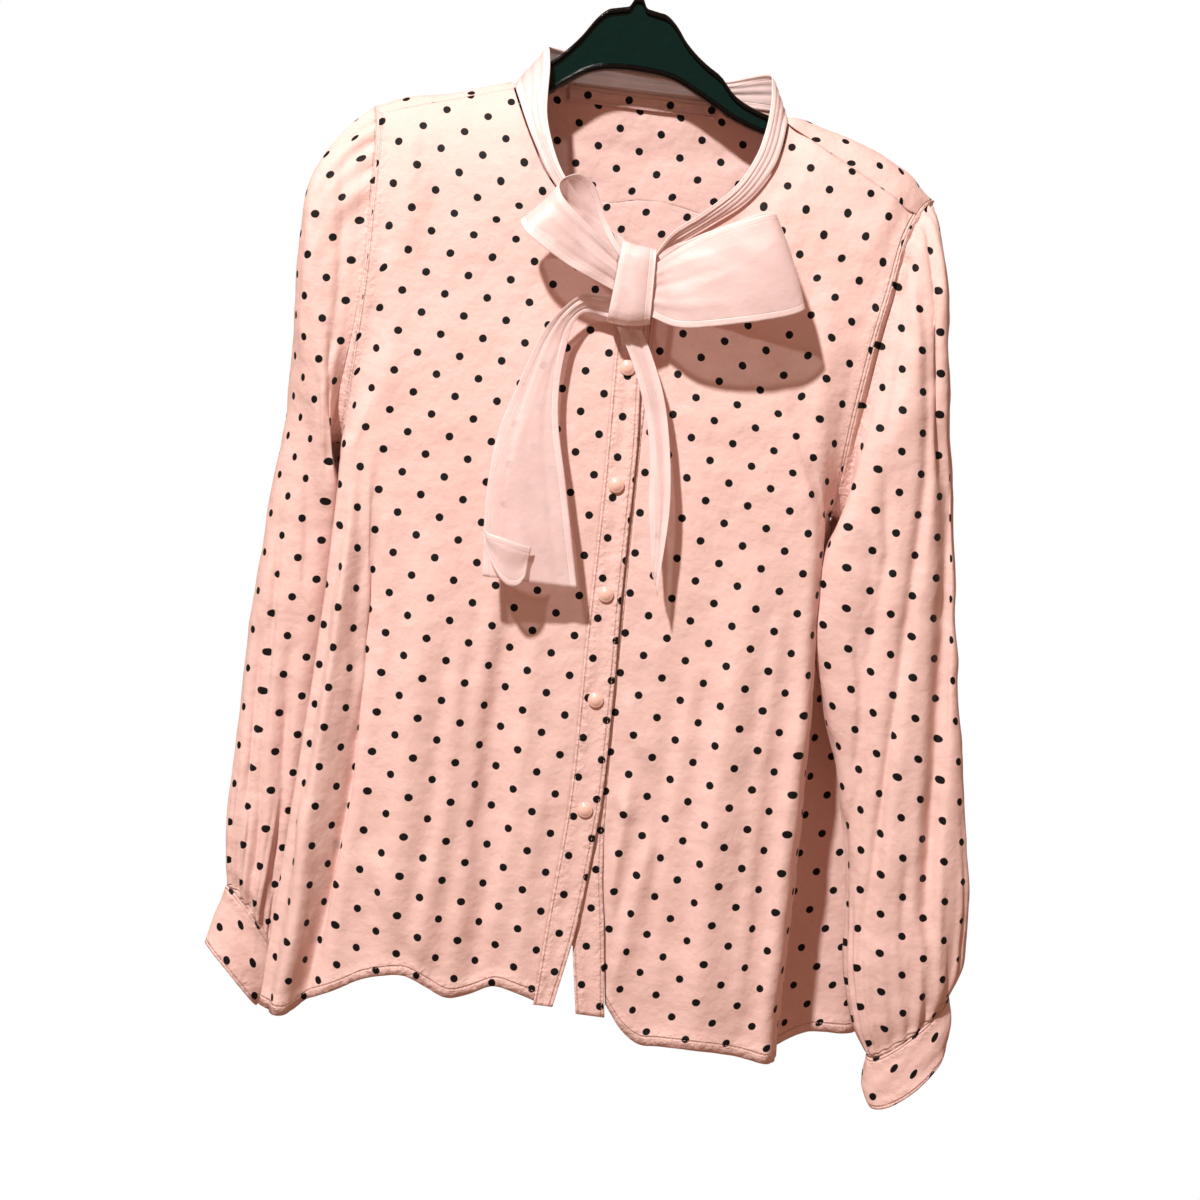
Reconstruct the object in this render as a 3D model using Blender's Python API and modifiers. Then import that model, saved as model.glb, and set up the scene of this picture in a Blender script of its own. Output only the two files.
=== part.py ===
# Tie neck blouse on a hanger. Millimetres inside, metres in Blender. X is the wearer's left, the front faces -Y.
# Heights in the tables are below the top of the hanger body; the hook's inside top is HOOK_TOP above it.
from bisect import bisect_right
from math import acos, cos, exp, pi, radians, sin, sqrt

import bmesh
import bpy

for thing in list(bpy.data.objects):
    bpy.data.objects.remove(thing)

blouse = bpy.data.collections.new("tie_neck_blouse")
bpy.context.scene.collection.children.link(blouse)

HOOK_TOP = 60.0
CLOTH = 1.2
SHEER = 1.0
SEAM = 0.45
FRONT_DEPTH = 36.0
BACK_DEPTH = 27.0
NECK_SPAN = (-79.0, 113.0)
HEM_ENDS = (-725.0, -708.0)
BUTTON_GAP = 0.45


# A short table with named columns, read smoothly along its first column.
class Table:
    def __init__(self, columns, *rows):
        self.columns = columns.split()
        self.rows = sorted(rows)

    def at(self, column, key):
        keys = [row[0] for row in self.rows]
        values = [row[self.columns.index(column)] for row in self.rows]
        if key <= keys[0]:
            return values[0]
        if key >= keys[-1]:
            return values[-1]
        i = bisect_right(keys, key) - 1
        gaps = [b - a for a, b in zip(keys, keys[1:])]
        rises = [(b - a) / gap for a, b, gap in zip(values, values[1:], gaps)]

        def slope(k):
            if k in (0, len(keys) - 1):
                return rises[min(k, len(rises) - 1)]
            before, after = rises[k - 1], rises[k]
            return 0.0 if before * after <= 0 else 2 * before * after / (before + after)

        f = (key - keys[i]) / gaps[i]
        h00, h10 = (1 + 2 * f) * (1 - f) ** 2, f * (1 - f) ** 2
        h01, h11 = f * f * (3 - 2 * f), f * f * (f - 1)
        return (h00 * values[i] + h10 * gaps[i] * slope(i)
                + h01 * values[i + 1] + h11 * gaps[i] * slope(i + 1))


def mix(a, b, f):
    return a + (b - a) * f


def ease(a, b, value):
    f = min(1.0, max(0.0, (value - a) / (b - a)))
    return f * f * (3 - 2 * f)


def spline(points, f):
    n = len(points) - 1
    i = min(int(f * n), n - 1)
    u = f * n - i
    a, b = points[i], points[i + 1]
    before = points[i - 1] if i else tuple(2 * p - q for p, q in zip(a, b))
    after = points[i + 2] if i + 2 <= n else tuple(2 * q - p for p, q in zip(a, b))
    return tuple(0.5 * (2 * q + (r - p) * u + (2 * p - 5 * q + 4 * r - t) * u * u
                        + (3 * q - p - 3 * r + t) * u ** 3)
                 for p, q, r, t in zip(before, a, b, after))


# Sizes read from the picture
SHOULDER_RIGHT = Table("x top", (-220, -104), (-195, -94), (-174, -88), (-160, -82.5), (-120, -72.5),
                       (-100, -66.5), (-82, -60.5), (-60, -46), (20, -27))
SHOULDER_LEFT = Table("x top", (20, -27), (90, -46), (112, -58.5), (150, -69.5), (180, -78.5),
                      (205, -92), (221, -106))
ARMHOLE_RIGHT = Table("angle x", (0, -174), (30, -168), (60, -165), (90, -164), (130, -168), (180, -172),
                      (230, -166), (270, -163), (310, -167), (340, -171), (360, -174))
ARMHOLE_LEFT = Table("angle x", (0, 221), (28, 208), (45, 201), (61, 197), (90, 188), (127, 181),
                     (180, 178), (230, 186), (270, 198), (310, 210), (340, 217), (360, 221))
NECK_RIGHT = Table("f x z", (0, 12, -163), (0.2, -12, -150), (0.4, -40, -133), (0.7, -62, -100), (1, -79, -65.5))
NECK_LEFT = Table("f x z", (0, 36, -167), (0.25, 60, -150), (0.55, 95, -120), (0.78, 110, -90), (1, 113, -67))
NECK_BACK = Table("x y z", (-79, -10, -65.5), (-77, 2, -60), (-66, 12, -57.5), (-45, 17, -55.5), (20, 19.5, -55.5),
                  (70, 18, -55), (95, 14, -55), (109, 5, -57.5), (113, -13, -67))
STITCH_LINE = Table("z x", (-700, 12), (-640, 15), (-540, 20), (-440, 18), (-340, 17), (-240, 14), (-163, 12))
PLACKET_EDGE = Table("z x", (-700, 25), (-640, 35), (-580, 40), (-540, 42), (-480, 41), (-400, 38),
                     (-300, 36), (-250, 33), (-163, 33))
UNDER_EDGE = Table("z x", (-703, 62), (-680, 59), (-640, 54), (-600, 48), (-540, 44), (-400, 40), (-163, 35))
UNDER_WIDTH = Table("z w", (-703, 20), (-640, 22), (-163, 22))
SIDE_RIGHT = Table("z ridge back seam depth", (-730, -183, -170, -160, 6), (-620, -177, -166, -156, 5),
                   (-500, -171, -163, -158, 4), (-400, -168, -163, -162, 3), (-325, -168, -168, -172, 0))
SIDE_LEFT = Table("z ridge dip dip_y fold fold_y seam depth", (-730, 185, 194, 9, 234, 9, 252, 22),
                  (-640, 184, 192, 9, 228, 9, 246, 22), (-560, 182, 190, 9, 218, 10, 234, 22),
                  (-480, 179, 187, 10, 201, 12, 211, 21), (-440, 177, 181, 5, 185, 9, 189, 15),
                  (-400, 175, 176, -9, 177.5, -2, 178.5, 5),
                  (-335, 171, 173, -20, 175, -10, 178, -1))
HEM_RIGHT = Table("x z", (-183, -724), (-166, -727), (-144, -714), (-123, -703), (-102, -692), (-78, -689),
                  (-60, -699), (-43, -703), (-31, -696), (-16, -690), (14, -697))
HEM_LEFT = Table("x z", (44, -703), (65, -694), (82, -720), (132, -717), (189, -722), (205, -711), (252, -708))
HEM_BACK = Table("x z", (-165, -722), (-130, -690), (-60, -678), (30, -673), (120, -682), (200, -700), (252, -708))
BELLY = Table("z y", (-730, 10), (-450, 9), (-300, 7), (-240, 4), (-190, 0))

# Folds on a panel: path by height, half width, how far back it goes, and where it fades in
FOLDS_RIGHT = (
    (Table("z x", (-715, -152), (-640, -139), (-520, -132), (-440, -136), (-330, -146)), 7, 9, -320, -430),
    (Table("z x", (-715, -167), (-520, -158), (-330, -160)), 11, -9, -320, -430),
    (Table("z x", (-700, -28), (-540, -38), (-420, -40)), 13, 5, -380, -470),
    (Table("z x", (-700, -88), (-500, -92), (-330, -100)), 16, -4, -300, -450),
)
FOLDS_LEFT = (
    (Table("z x", (-700, 92), (-400, 96)), 15, 4, -330, -500),
    (Table("z x", (-700, 130), (-400, 128)), 16, -4, -330, -500),
    (Table("z x", (-700, 66), (-560, 52)), 9, 4, -540, -640),
    (Table("z x", (-700, 160), (-400, 152)), 12, 3, -330, -480),
)
FOLDS_BACK = (
    (Table("z x", (-700, -90), (-300, -70)), 20, -6, -240, -420),
    (Table("z x", (-700, -30), (-300, -22)), 20, 6, -240, -420),
    (Table("z x", (-700, 40), (-300, 30)), 22, -6, -240, -420),
    (Table("z x", (-700, 110), (-300, 85)), 22, 6, -240, -420),
    (Table("z x", (-700, 180), (-300, 140)), 22, -6, -240, -420),
)


def folded(folds, x, z):
    total = 0.0
    for path, width, depth, start, full in folds:
        total += depth * exp(-((x - path.at("x", z)) / width) ** 2) * ease(-start, -full, -z)
    return total


# Each side's armhole: highest and lowest points and the angle of the shoulder seam lying on the front
RIGHT = dict(name="right", out=-1, shoulder=SHOULDER_RIGHT, armhole=ARMHOLE_RIGHT, top=-88.0, low=-325.0,
             seam=18.0, neck=NECK_RIGHT, folds=FOLDS_RIGHT, hem=HEM_RIGHT,
             hem_end=HEM_ENDS[0], hem_start=-697.0)
LEFT = dict(name="left", out=1, shoulder=SHOULDER_LEFT, armhole=ARMHOLE_LEFT, top=-106.0, low=-335.0,
            seam=27.0, neck=NECK_LEFT, folds=FOLDS_LEFT, hem=HEM_LEFT,
            hem_end=HEM_ENDS[1], hem_start=-703.0)
LOWER_ROWS = 11


def half_height(side):
    return (side["top"] - side["low"]) / 2


def front_angles(side):
    return [180, 157, 135, 112, 90] + [mix(90, side["seam"], k / 7) for k in range(1, 8)]


def back_angles(side):
    return [180, 202, 225, 247, 270] + [mix(270, 360 + side["seam"], k / 11) for k in range(1, 12)]


def armhole(side, angle):
    a = radians(angle)
    depth = FRONT_DEPTH if sin(a) > 0 else BACK_DEPTH
    z = (side["top"] + side["low"]) / 2 + half_height(side) * cos(a)
    return side["armhole"].at("x", angle % 360), -depth * sin(a), z


# How far forward the front lies at a point of the picture
def front_depth(side, x, z):
    down = (side["shoulder"].at("top", x) - z) / half_height(side)
    lean = sin(acos(1 - down)) if 0 < down < 1 else float(down >= 1)
    return -FRONT_DEPTH * lean - BELLY.at("y", z)


def side_seam(side, z):
    if side is RIGHT:
        return SIDE_RIGHT.at("seam", z), SIDE_RIGHT.at("depth", z)
    return SIDE_LEFT.at("seam", z), SIDE_LEFT.at("depth", z)


# The seam end of a front's row, then the turn of the cloth from the flat front to that seam
def outer_edge(side, row):
    if row > LOWER_ROWS:
        return armhole(side, front_angles(side)[row - LOWER_ROWS])
    z = mix(side["hem_end"], side["low"], row / LOWER_ROWS)
    return (*side_seam(side, z), z)


def inner_edge(side, row, rows, below):
    count = rows - 1
    neck_rows = 6
    if row > count - neck_rows:
        f = (row - count + neck_rows) / neck_rows
        return side["neck"].at("x", f), side["neck"].at("z", f)
    z = mix(side["hem_start"], side["neck"].at("z", 0), row / (count - neck_rows))
    return below(z), z


def turn(side, start, edge, z):
    x, y = edge[0], edge[1]
    out = side["out"]
    if side is RIGHT:
        ridge = SIDE_RIGHT.at("ridge", z) if z < -209 else x
        back = SIDE_RIGHT.at("back", z)
        if z > side["low"]:
            back = mix(ridge, x, 0.5)
        path = [(ridge, start + 8), (back, mix(start, y, 0.62)), (x, y)]
    else:
        ridge = SIDE_LEFT.at("ridge", z) if z < -220 else x
        row = {name: SIDE_LEFT.at(name, z) for name in ("dip", "dip_y", "fold", "fold_y")}
        if z > side["low"]:
            row = dict(dip=mix(ridge, x, 0.35), dip_y=mix(start, y, 0.5), fold=mix(ridge, x, 0.7),
                       fold_y=mix(start, y, 0.75))
        path = [(ridge, start + 8), (mix(ridge, row["dip"], 0.45), mix(start, row["dip_y"], 0.62)),
                (row["dip"], row["dip_y"]), (row["fold"], row["fold_y"]), (x, y)]
    size = min(1.0, abs(y - start) / 24)
    path[0] = (path[0][0], mix(start, start + 8, size))
    return [(path[0][0] - out * mix(2.0, 8.0, size), start)] + path


def front_point(side, s, flat, row, below, behind):
    edge = outer_edge(side, row)
    x_in, z_in = inner_edge(side, row, FRONT_ROWS, below)
    angle = front_angles(side)[row - LOWER_ROWS] if row > LOWER_ROWS else 180
    plain = ease(180, 90, angle)
    z = mix(z_in, edge[2], s)
    start = front_depth(side, edge[0], edge[2]) if angle < 90 else -FRONT_DEPTH - BELLY.at("y", edge[2])
    path = turn(side, start, edge, edge[2])
    if s <= flat:
        x = mix(x_in, path[0][0], s / flat)
        y = front_depth(side, x, z) + folded(side["folds"], x, z) * (1 - ease(flat - 0.02, flat, s))
        y += (start - front_depth(side, edge[0], edge[2])) * ease(flat - 0.25, flat, s) * (angle >= 90)
    else:
        x, y = spline(path, (s - flat) / (1 - flat))
    x_plain = mix(x_in, edge[0], s)
    y_plain = front_depth(side, x_plain, z)
    y_plain += (edge[1] - front_depth(side, edge[0], edge[2])) * ease(0.8, 1, s)
    x, y = mix(x, x_plain, plain), mix(y, y_plain, plain)
    if row < 4:
        first = mix(inner_edge(side, 0, FRONT_ROWS, below)[1], outer_edge(side, 0)[2], s)
        z += (side["hem"].at("z", x) - first) * (1 - row / 4) ** 1.5
    return x, y + behind * (1 - ease(0.0, 0.25, s)), z


def normals_of(grid, around):
    rows, columns = len(grid), len(grid[0])
    result = []
    for r in range(rows):
        line = []
        for c in range(columns):
            left = grid[r][(c - 1) % columns] if around else grid[r][max(c - 1, 0)]
            right = grid[r][(c + 1) % columns] if around else grid[r][min(c + 1, columns - 1)]
            low, high = grid[max(r - 1, 0)][c], grid[min(r + 1, rows - 1)][c]
            a = [q - p for p, q in zip(left, right)]
            b = [q - p for p, q in zip(low, high)]
            n = (a[1] * b[2] - a[2] * b[1], a[2] * b[0] - a[0] * b[2], a[0] * b[1] - a[1] * b[0])
            size = sqrt(sum(v * v for v in n)) or 1.0
            line.append(tuple(v / size for v in n))
        result.append(line)
    return result


def in_blender(point):
    return point[0] / 1000, point[1] / 1000, (point[2] - HOOK_TOP) / 1000


def add_object(name, data, tint, rough=0.8, metal=0.0):
    material = bpy.data.materials.new(name)
    material.diffuse_color = (*tint, 1.0)
    material.use_nodes = True
    shader = material.node_tree.nodes["Principled BSDF"]
    shader.inputs["Base Color"].default_value = (*tint, 1.0)
    shader.inputs["Roughness"].default_value = rough
    shader.inputs["Metallic"].default_value = metal
    data.materials.append(material)
    thing = bpy.data.objects.new(name, data)
    blouse.objects.link(thing)
    return thing


# Cloth: an open sheet through a grid of points, thickened both ways. lift moves a point along the sheet's normal.
def cloth(name, grid, wall, tint, around=False, lift=None):
    rows, columns = len(grid), len(grid[0])
    if lift:
        normals = normals_of(grid, around)
        grid = [[tuple(p + n * lift(r, c) for p, n in zip(grid[r][c], normals[r][c]))
                 for c in range(columns)] for r in range(rows)]
    bm = bmesh.new()
    points = [[bm.verts.new(in_blender(point)) for point in row] for row in grid]
    for low, high in zip(points, points[1:]):
        for c in range(columns if around else columns - 1):
            d = (c + 1) % columns
            bm.faces.new((low[c], low[d], high[d], high[c]))
    bmesh.ops.triangulate(bm, faces=bm.faces, quad_method="SHORT_EDGE")
    mesh = bpy.data.meshes.new(name)
    bm.to_mesh(mesh)
    bm.free()
    solidify = add_object(name, mesh, tint).modifiers.new("wall", "SOLIDIFY")
    solidify.thickness = wall / 1000
    solidify.offset = 0.0


# Pulls the named borders of a grid back from the seam
def trimmed(grid, top=0.0, bottom=0.0, first=0.0, last=0.0):
    def pulled(point, toward, gap):
        size = sqrt(sum((b - a) ** 2 for a, b in zip(point, toward))) or 1.0
        return tuple(a + (b - a) * gap / size for a, b in zip(point, toward))

    grid = [list(row) for row in grid]
    for row in grid:
        row[0] = pulled(row[0], row[1], first)
        row[-1] = pulled(row[-1], row[-2], last)
    for c in range(len(grid[0])):
        grid[0][c] = pulled(grid[0][c], grid[1][c], bottom)
        grid[-1][c] = pulled(grid[-1][c], grid[-2][c], top)
    return grid


PINK = (0.93, 0.75, 0.68)
VEIL = (0.92, 0.70, 0.66)
FRONT_ROWS = LOWER_ROWS + 12
RIGHT_COLUMNS = (0, 0.07, 0.14, 0.21, 0.28, 0.35, 0.42, 0.49, 0.56, 0.62, 0.66, 0.695, 0.725, 0.755,
                 0.785, 0.815, 0.84, 0.875, 0.915, 0.96, 1)
LEFT_COLUMNS = (0, 0.07, 0.14, 0.21, 0.28, 0.35, 0.42, 0.5, 0.55, 0.6, 0.65, 0.7, 0.76, 0.82, 0.88, 0.94, 1)


def front_grid(side, columns, flat, below, behind):
    return [[front_point(side, s, flat, row, below, behind) for s in columns]
            for row in range(FRONT_ROWS)]


front_right = front_grid(RIGHT, RIGHT_COLUMNS, 0.84, lambda z: STITCH_LINE.at("x", z), 0.0)
front_left = front_grid(LEFT, LEFT_COLUMNS, 0.6, lambda z: UNDER_EDGE.at("x", z), 3.2)
cloth("front_right", trimmed(front_right, SEAM, 0, SEAM, 0.7), CLOTH, PINK)
cloth("front_left", trimmed(front_left, 1.3, 0, 0.6, 1.0), CLOTH, PINK)


# Back panel, from the hem over the shoulders to the seams on the front
def back_end(side, x):
    if x < NECK_SPAN[0] or x > NECK_SPAN[1]:
        corner = side["neck"].at("x", 1), side["neck"].at("z", 1)
        far = armhole(side, side["seam"])
        z = mix(corner[1], far[2], (x - corner[0]) / (far[0] - corner[0]))
        return front_depth(side, x, z), z
    return NECK_BACK.at("y", x), NECK_BACK.at("z", x)


def back_point(s, row):
    side = RIGHT if s < 0.5 else LEFT
    edges = []
    for half in (RIGHT, LEFT):
        if row > LOWER_ROWS:
            edges.append(armhole(half, back_angles(half)[row - LOWER_ROWS]))
        else:
            z = mix(half["hem_end"], half["low"], row / LOWER_ROWS)
            edges.append((*side_seam(half, z), z))
    x = mix(edges[0][0], edges[1][0], s)
    edge = edges[0] if side is RIGHT else edges[1]
    across = abs(x - edge[0])
    rounded = sqrt(1 - (1 - min(1.0, across / 24)) ** 2)
    if row <= LOWER_ROWS + 4:
        z = mix(edges[0][2], edges[1][2], s)
        y = BACK_DEPTH + BELLY.at("y", z) * 0.8 + folded(FOLDS_BACK, x, z)
        if row < 5:
            z += (HEM_BACK.at("z", x) - mix(*HEM_ENDS, s)) * (1 - row / 5) ** 1.5
        return x, mix(edge[1], y, rounded), z
    steps = row - LOWER_ROWS - 4
    x_top = mix(*(armhole(half, half["seam"])[0] for half in (RIGHT, LEFT)), s)
    y_end, z_end = back_end(side, x_top)
    depth = FRONT_DEPTH if y_end < 0 else BACK_DEPTH
    end = radians(360) + acos(sqrt(max(0.0, 1 - (y_end / depth) ** 2))) * (1 if y_end < 0 else -1)
    half = half_height(side)
    angle = mix(radians(270), end, steps / 11)
    crown = side["shoulder"].at("top", x)
    miss = z_end - (side["shoulder"].at("top", x_top) - half * (1 - cos(end)))
    z = crown - half * (1 - cos(angle)) + miss * steps / 11
    y = -(FRONT_DEPTH if sin(angle) > 0 else BACK_DEPTH) * sin(angle)
    z = mix(edge[2], z, ease(0, 12, across))
    return x, mix(edge[1], y, ease(0, 12, across)), z


TOP_ENDS = armhole(RIGHT, RIGHT["seam"])[0], armhole(LEFT, LEFT["seam"])[0]
LEFT_NECK, RIGHT_NECK = [(x - TOP_ENDS[0]) / (TOP_ENDS[1] - TOP_ENDS[0]) for x in NECK_SPAN]
BACK_COLUMNS = ([0, 0.02, 0.045, 0.08] + [mix(0.12, LEFT_NECK, k / 3) for k in range(4)]
                + [LEFT_NECK + step for step in (0.012, 0.035, 0.08)]
                + [mix(LEFT_NECK + 0.08, RIGHT_NECK - 0.08, k / 6) for k in range(1, 7)]
                + [RIGHT_NECK - step for step in (0.035, 0.012, 0)]
                + [mix(RIGHT_NECK, 0.88, k / 3) for k in range(1, 4)] + [0.92, 0.955, 0.98, 1])
back_panel = [[back_point(s, row) for s in BACK_COLUMNS] for row in range(LOWER_ROWS + 16)]
cloth("back_panel", trimmed(back_panel, 0.9, 0, 0.7, 0.7), CLOTH, PINK)

# Sleeves: rings from the armhole to the cuff seam, by their outer and inner ends in the picture
SLEEVE_RIGHT = Table("v ox oz ix iz y ry", (0, -176, -90, -174, -326, 0, 32), (0.08, -203, -112, -177, -336, 1, 31),
                     (0.16, -212, -140, -178, -350, 2, 30), (0.3, -215, -205, -172, -380, 4, 28),
                     (0.45, -213, -290, -167.5, -425, 6, 26), (0.6, -220, -390, -167, -485, 7, 25),
                     (0.75, -224, -480, -168, -550, 8, 24), (0.9, -225, -590, -174, -640, 8, 23),
                     (0.96, -223, -632, -179, -680, 8, 20), (1, -220, -655, -181, -700, 8, 14))
SLEEVE_LEFT = Table("v ox oz ix iz y ry", (0, 222, -108, 180, -336, 0, 32), (0.08, 230, -122, 180, -347, -2, 31),
                    (0.16, 235, -150, 181, -370, -5, 30), (0.3, 245, -220, 183, -412, -12, 27),
                    (0.45, 259, -305, 193, -462, -18, 25), (0.6, 273, -395, 207, -520, -22, 24),
                    (0.75, 290, -490, 221, -585, -24, 24), (0.9, 308, -590, 229, -650, -25, 24),
                    (0.96, 311, -635, 240, -690, -25, 21), (1, 304, -660, 253, -711, -25, 14))
GROOVES_RIGHT = ((Table("z x", (-650, -203), (-600, -208), (-520, -212), (-450, -213)), 4.5, 8, -430, -500),
                 (Table("z x", (-640, -187), (-500, -190), (-340, -184)), 6, 4, -420, -520))
GROOVES_LEFT = ((Table("z x", (-660, 281), (-560, 275), (-480, 269), (-400, 263), (-330, 256), (-250, 242)),
                 6, 12, -235, -300),
                (Table("z x", (-300, 237), (-228, 229), (-150, 216)), 4.5, 5, -140, -180),
                (Table("z x", (-620, 228), (-400, 211), (-330, 208)), 7, 3, -300, -380))
SLEEVE_ROWS = (0, 0.02, 0.045, 0.08, 0.13, 0.2, 0.29, 0.38, 0.47, 0.56, 0.65, 0.74, 0.82, 0.89, 0.94, 0.975, 1)


def sleeve_angles(side):
    return front_angles(side)[::-1] + back_angles(side)[1:-1]


def sleeve_point(side, rings, grooves, sag, angle, v):
    row = {name: rings.at(name, v) for name in rings.columns[1:]}
    a = radians(angle)
    c, s = cos(a), sin(a)
    x = (row["ox"] + row["ix"]) / 2 + (row["ox"] - row["ix"]) / 2 * c
    z = (row["oz"] + row["iz"]) / 2 + (row["oz"] - row["iz"]) / 2 * c
    y = row["y"] - row["ry"] * s * (abs(s) + 0.001) ** -0.2
    start = armhole(side, angle)
    start = (start[0] + side["out"] * (SEAM + 1.6 * (1 - c) / 2), start[1], start[2])
    near = ease(0.0, 0.2, v)
    x, y, z = (mix(p, q, near) for p, q in zip(start, (x, y, z)))
    if s > 0:
        y += folded(grooves, x, z) * s ** 0.5 * (1 - ease(0.93, 0.99, v))
    return x, y, z - sag * abs(s) * ease(0.9, 1, v)


def gathers(side, rows, columns):
    def lift(r, c):
        v = rows[r]
        angle = sleeve_angles(side)[c]
        cap = ease(0.0, 0.03, v) * (1 - ease(0.05, 0.2, v)) * (cos(radians(angle)) > -0.05)
        cuff = ease(0.86, 0.965, v) * (1 - 0.6 * ease(0.975, 1, v))
        return (1.0 if c % 2 else -1.0) * (1.7 * cap + 1.8 * cuff)
    return lift


for side, rings, grooves, sag in ((RIGHT, SLEEVE_RIGHT, GROOVES_RIGHT, -9), (LEFT, SLEEVE_LEFT, GROOVES_LEFT, 8)):
    angles = sleeve_angles(side)
    grid = [[sleeve_point(side, rings, grooves, sag, angle, v) for angle in angles] for v in SLEEVE_ROWS]
    cloth("sleeve_" + side["name"], trimmed(grid, SEAM, 0), CLOTH, PINK, around=True,
          lift=gathers(side, SLEEVE_ROWS, len(angles)))

# Cuffs: the sag column lets the near side of a ring hang below or above its ends
CUFF_RIGHT = Table("v ox oz ix iz y ry sag", (0, -220, -655, -181, -700, 8, 14, -9),
                   (0.5, -226, -676, -177, -722, 7, 15, -5), (1, -231, -697, -190, -739, 6, 15, -4))
CUFF_LEFT = Table("v ox oz ix iz y ry sag", (0, 304, -660, 253, -711, -25, 14, 8),
                  (0.5, 308, -681, 252, -731, -25, 16, 10), (1, 307, -699, 258, -744, -25, 17, 13))


def cuff_point(rings, angle, v):
    row = {name: rings.at(name, v) for name in rings.columns[1:]}
    a = radians(angle)
    c, s = cos(a), sin(a)
    x = (row["ox"] + row["ix"]) / 2 + (row["ox"] - row["ix"]) / 2 * c
    z = (row["oz"] + row["iz"]) / 2 + (row["oz"] - row["iz"]) / 2 * c - row["sag"] * abs(s)
    return x, row["y"] - row["ry"] * s * (abs(s) + 0.001) ** -0.2, z


for side, rings in ((RIGHT, CUFF_RIGHT), (LEFT, CUFF_LEFT)):
    grid = [[cuff_point(rings, angle, v) for angle in range(0, 360, 15)] for v in (0, 0.33, 0.66, 1)]
    cloth("cuff_" + side["name"], trimmed(grid, 0, 1.0), CLOTH, PINK, around=True)


# Button band on top and the band under it, both following the front's own height field
def band_grid(low, high, rows, lift, left, right, columns):
    grid = []
    for k in range(rows + 1):
        row = []
        for c in range(columns + 1):
            z = mix(low, high, k / rows)
            x = mix(left(z), right(z), c / columns)
            row.append((x, front_depth(RIGHT, x, z) + lift, z))
        grid.append(row)
    return grid


placket = band_grid(-699, -164, 22, 0.0, lambda z: STITCH_LINE.at("x", z), lambda z: PLACKET_EDGE.at("x", z), 2)
cloth("placket_right", trimmed(placket, 0, 0, SEAM, 0), CLOTH, PINK)
under = band_grid(-703, -169, 22, 3.2, lambda z: UNDER_EDGE.at("x", z) - UNDER_WIDTH.at("w", z),
                  lambda z: UNDER_EDGE.at("x", z), 2)
cloth("placket_left", trimmed(under, 0, 0, 0, SEAM), CLOTH, PINK)

# Dotted strip inside the back neck
tape = []
for drop in (-67.0, -61.5, -56.0):
    tape.append([(x, NECK_BACK.at("y", x) + (-56 - drop) * 0.2 - 2.2, drop + 0.5) for x in range(-42, 75, 13)])
cloth("neck_tape", tape, CLOTH, PINK)


# Ribbons: two long edges as tables along the ribbon, with pleats running lengthways
def ribbon(name, edges, steps, across, pleat):
    walk = [spline(edges, i / steps) for i in range(steps + 1)]
    grid = [[tuple(mix(u, v, k / across) for u, v in zip(p[:3], p[3:])) for p in walk]
            for k in range(across + 1)]
    cloth(name, grid, SHEER, VEIL, lift=lambda r, c: pleat if r % 2 else -pleat)


# Collar band: its lower edge follows the neck seam, its free edge is a table along the band
FREE_EDGE = Table("f x y z", (0, 10, -42.9, -174), (0.03, 2, -42.6, -157), (0.1, -20, -42, -139),
                  (0.18, -37, -39, -121), (0.26, -49, -33, -96), (0.31, -54, -24, -76), (0.335, -55, -19, -60),
                  (0.355, -56, -13, -44), (0.372, -58, -8, -36), (0.39, -59, -2, -33.5), (0.43, -50, 9, -33),
                  (0.48, -24, 15, -38), (0.54, 20, 17, -40), (0.6, 62, 14.5, -41), (0.65, 83, 9, -36),
                  (0.68, 94, 2, -33.5), (0.7, 98, -4, -35), (0.74, 99, -19, -58), (0.79, 96, -29, -82),
                  (0.85, 85, -38, -110), (0.92, 63, -42, -135), (0.98, 40, -42.8, -155), (1, 30, -42.9, -175))
NECK_WALK = Table("f x", (0.35, -79), (0.37, -78), (0.39, -77), (0.42, -70), (0.45, -58), (0.49, -30),
                  (0.54, 15), (0.6, 62), (0.65, 92), (0.68, 106), (0.695, 110), (0.71, 112), (0.73, 113))


def neck_seam(f):
    if f < 0.35:
        g = f / 0.35
        x, z, side = NECK_RIGHT.at("x", g), NECK_RIGHT.at("z", g), RIGHT
        return x + 1.1, front_depth(side, x, z) - 0.6, z + 0.8
    if f > 0.73:
        g = (1 - f) / 0.27
        x, z, side = NECK_LEFT.at("x", g), NECK_LEFT.at("z", g), LEFT
        return x - 0.9, front_depth(side, x, z) - 0.4, z + 0.6
    x = NECK_WALK.at("x", f)
    return x, NECK_BACK.at("y", x), NECK_BACK.at("z", x) + 1.2


COLLAR_STEPS = 46
collar = []
for k in range(5):
    line = []
    for i in range(COLLAR_STEPS + 1):
        f = i / COLLAR_STEPS
        free = [FREE_EDGE.at(axis, f) for axis in "xyz"]
        line.append(tuple(mix(p, q, k / 4) for p, q in zip(neck_seam(f), free)))
    collar.append(line)
cloth("collar_band", collar, SHEER, VEIL, lift=lambda r, c: 0.5 if r % 2 else -0.3)

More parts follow.
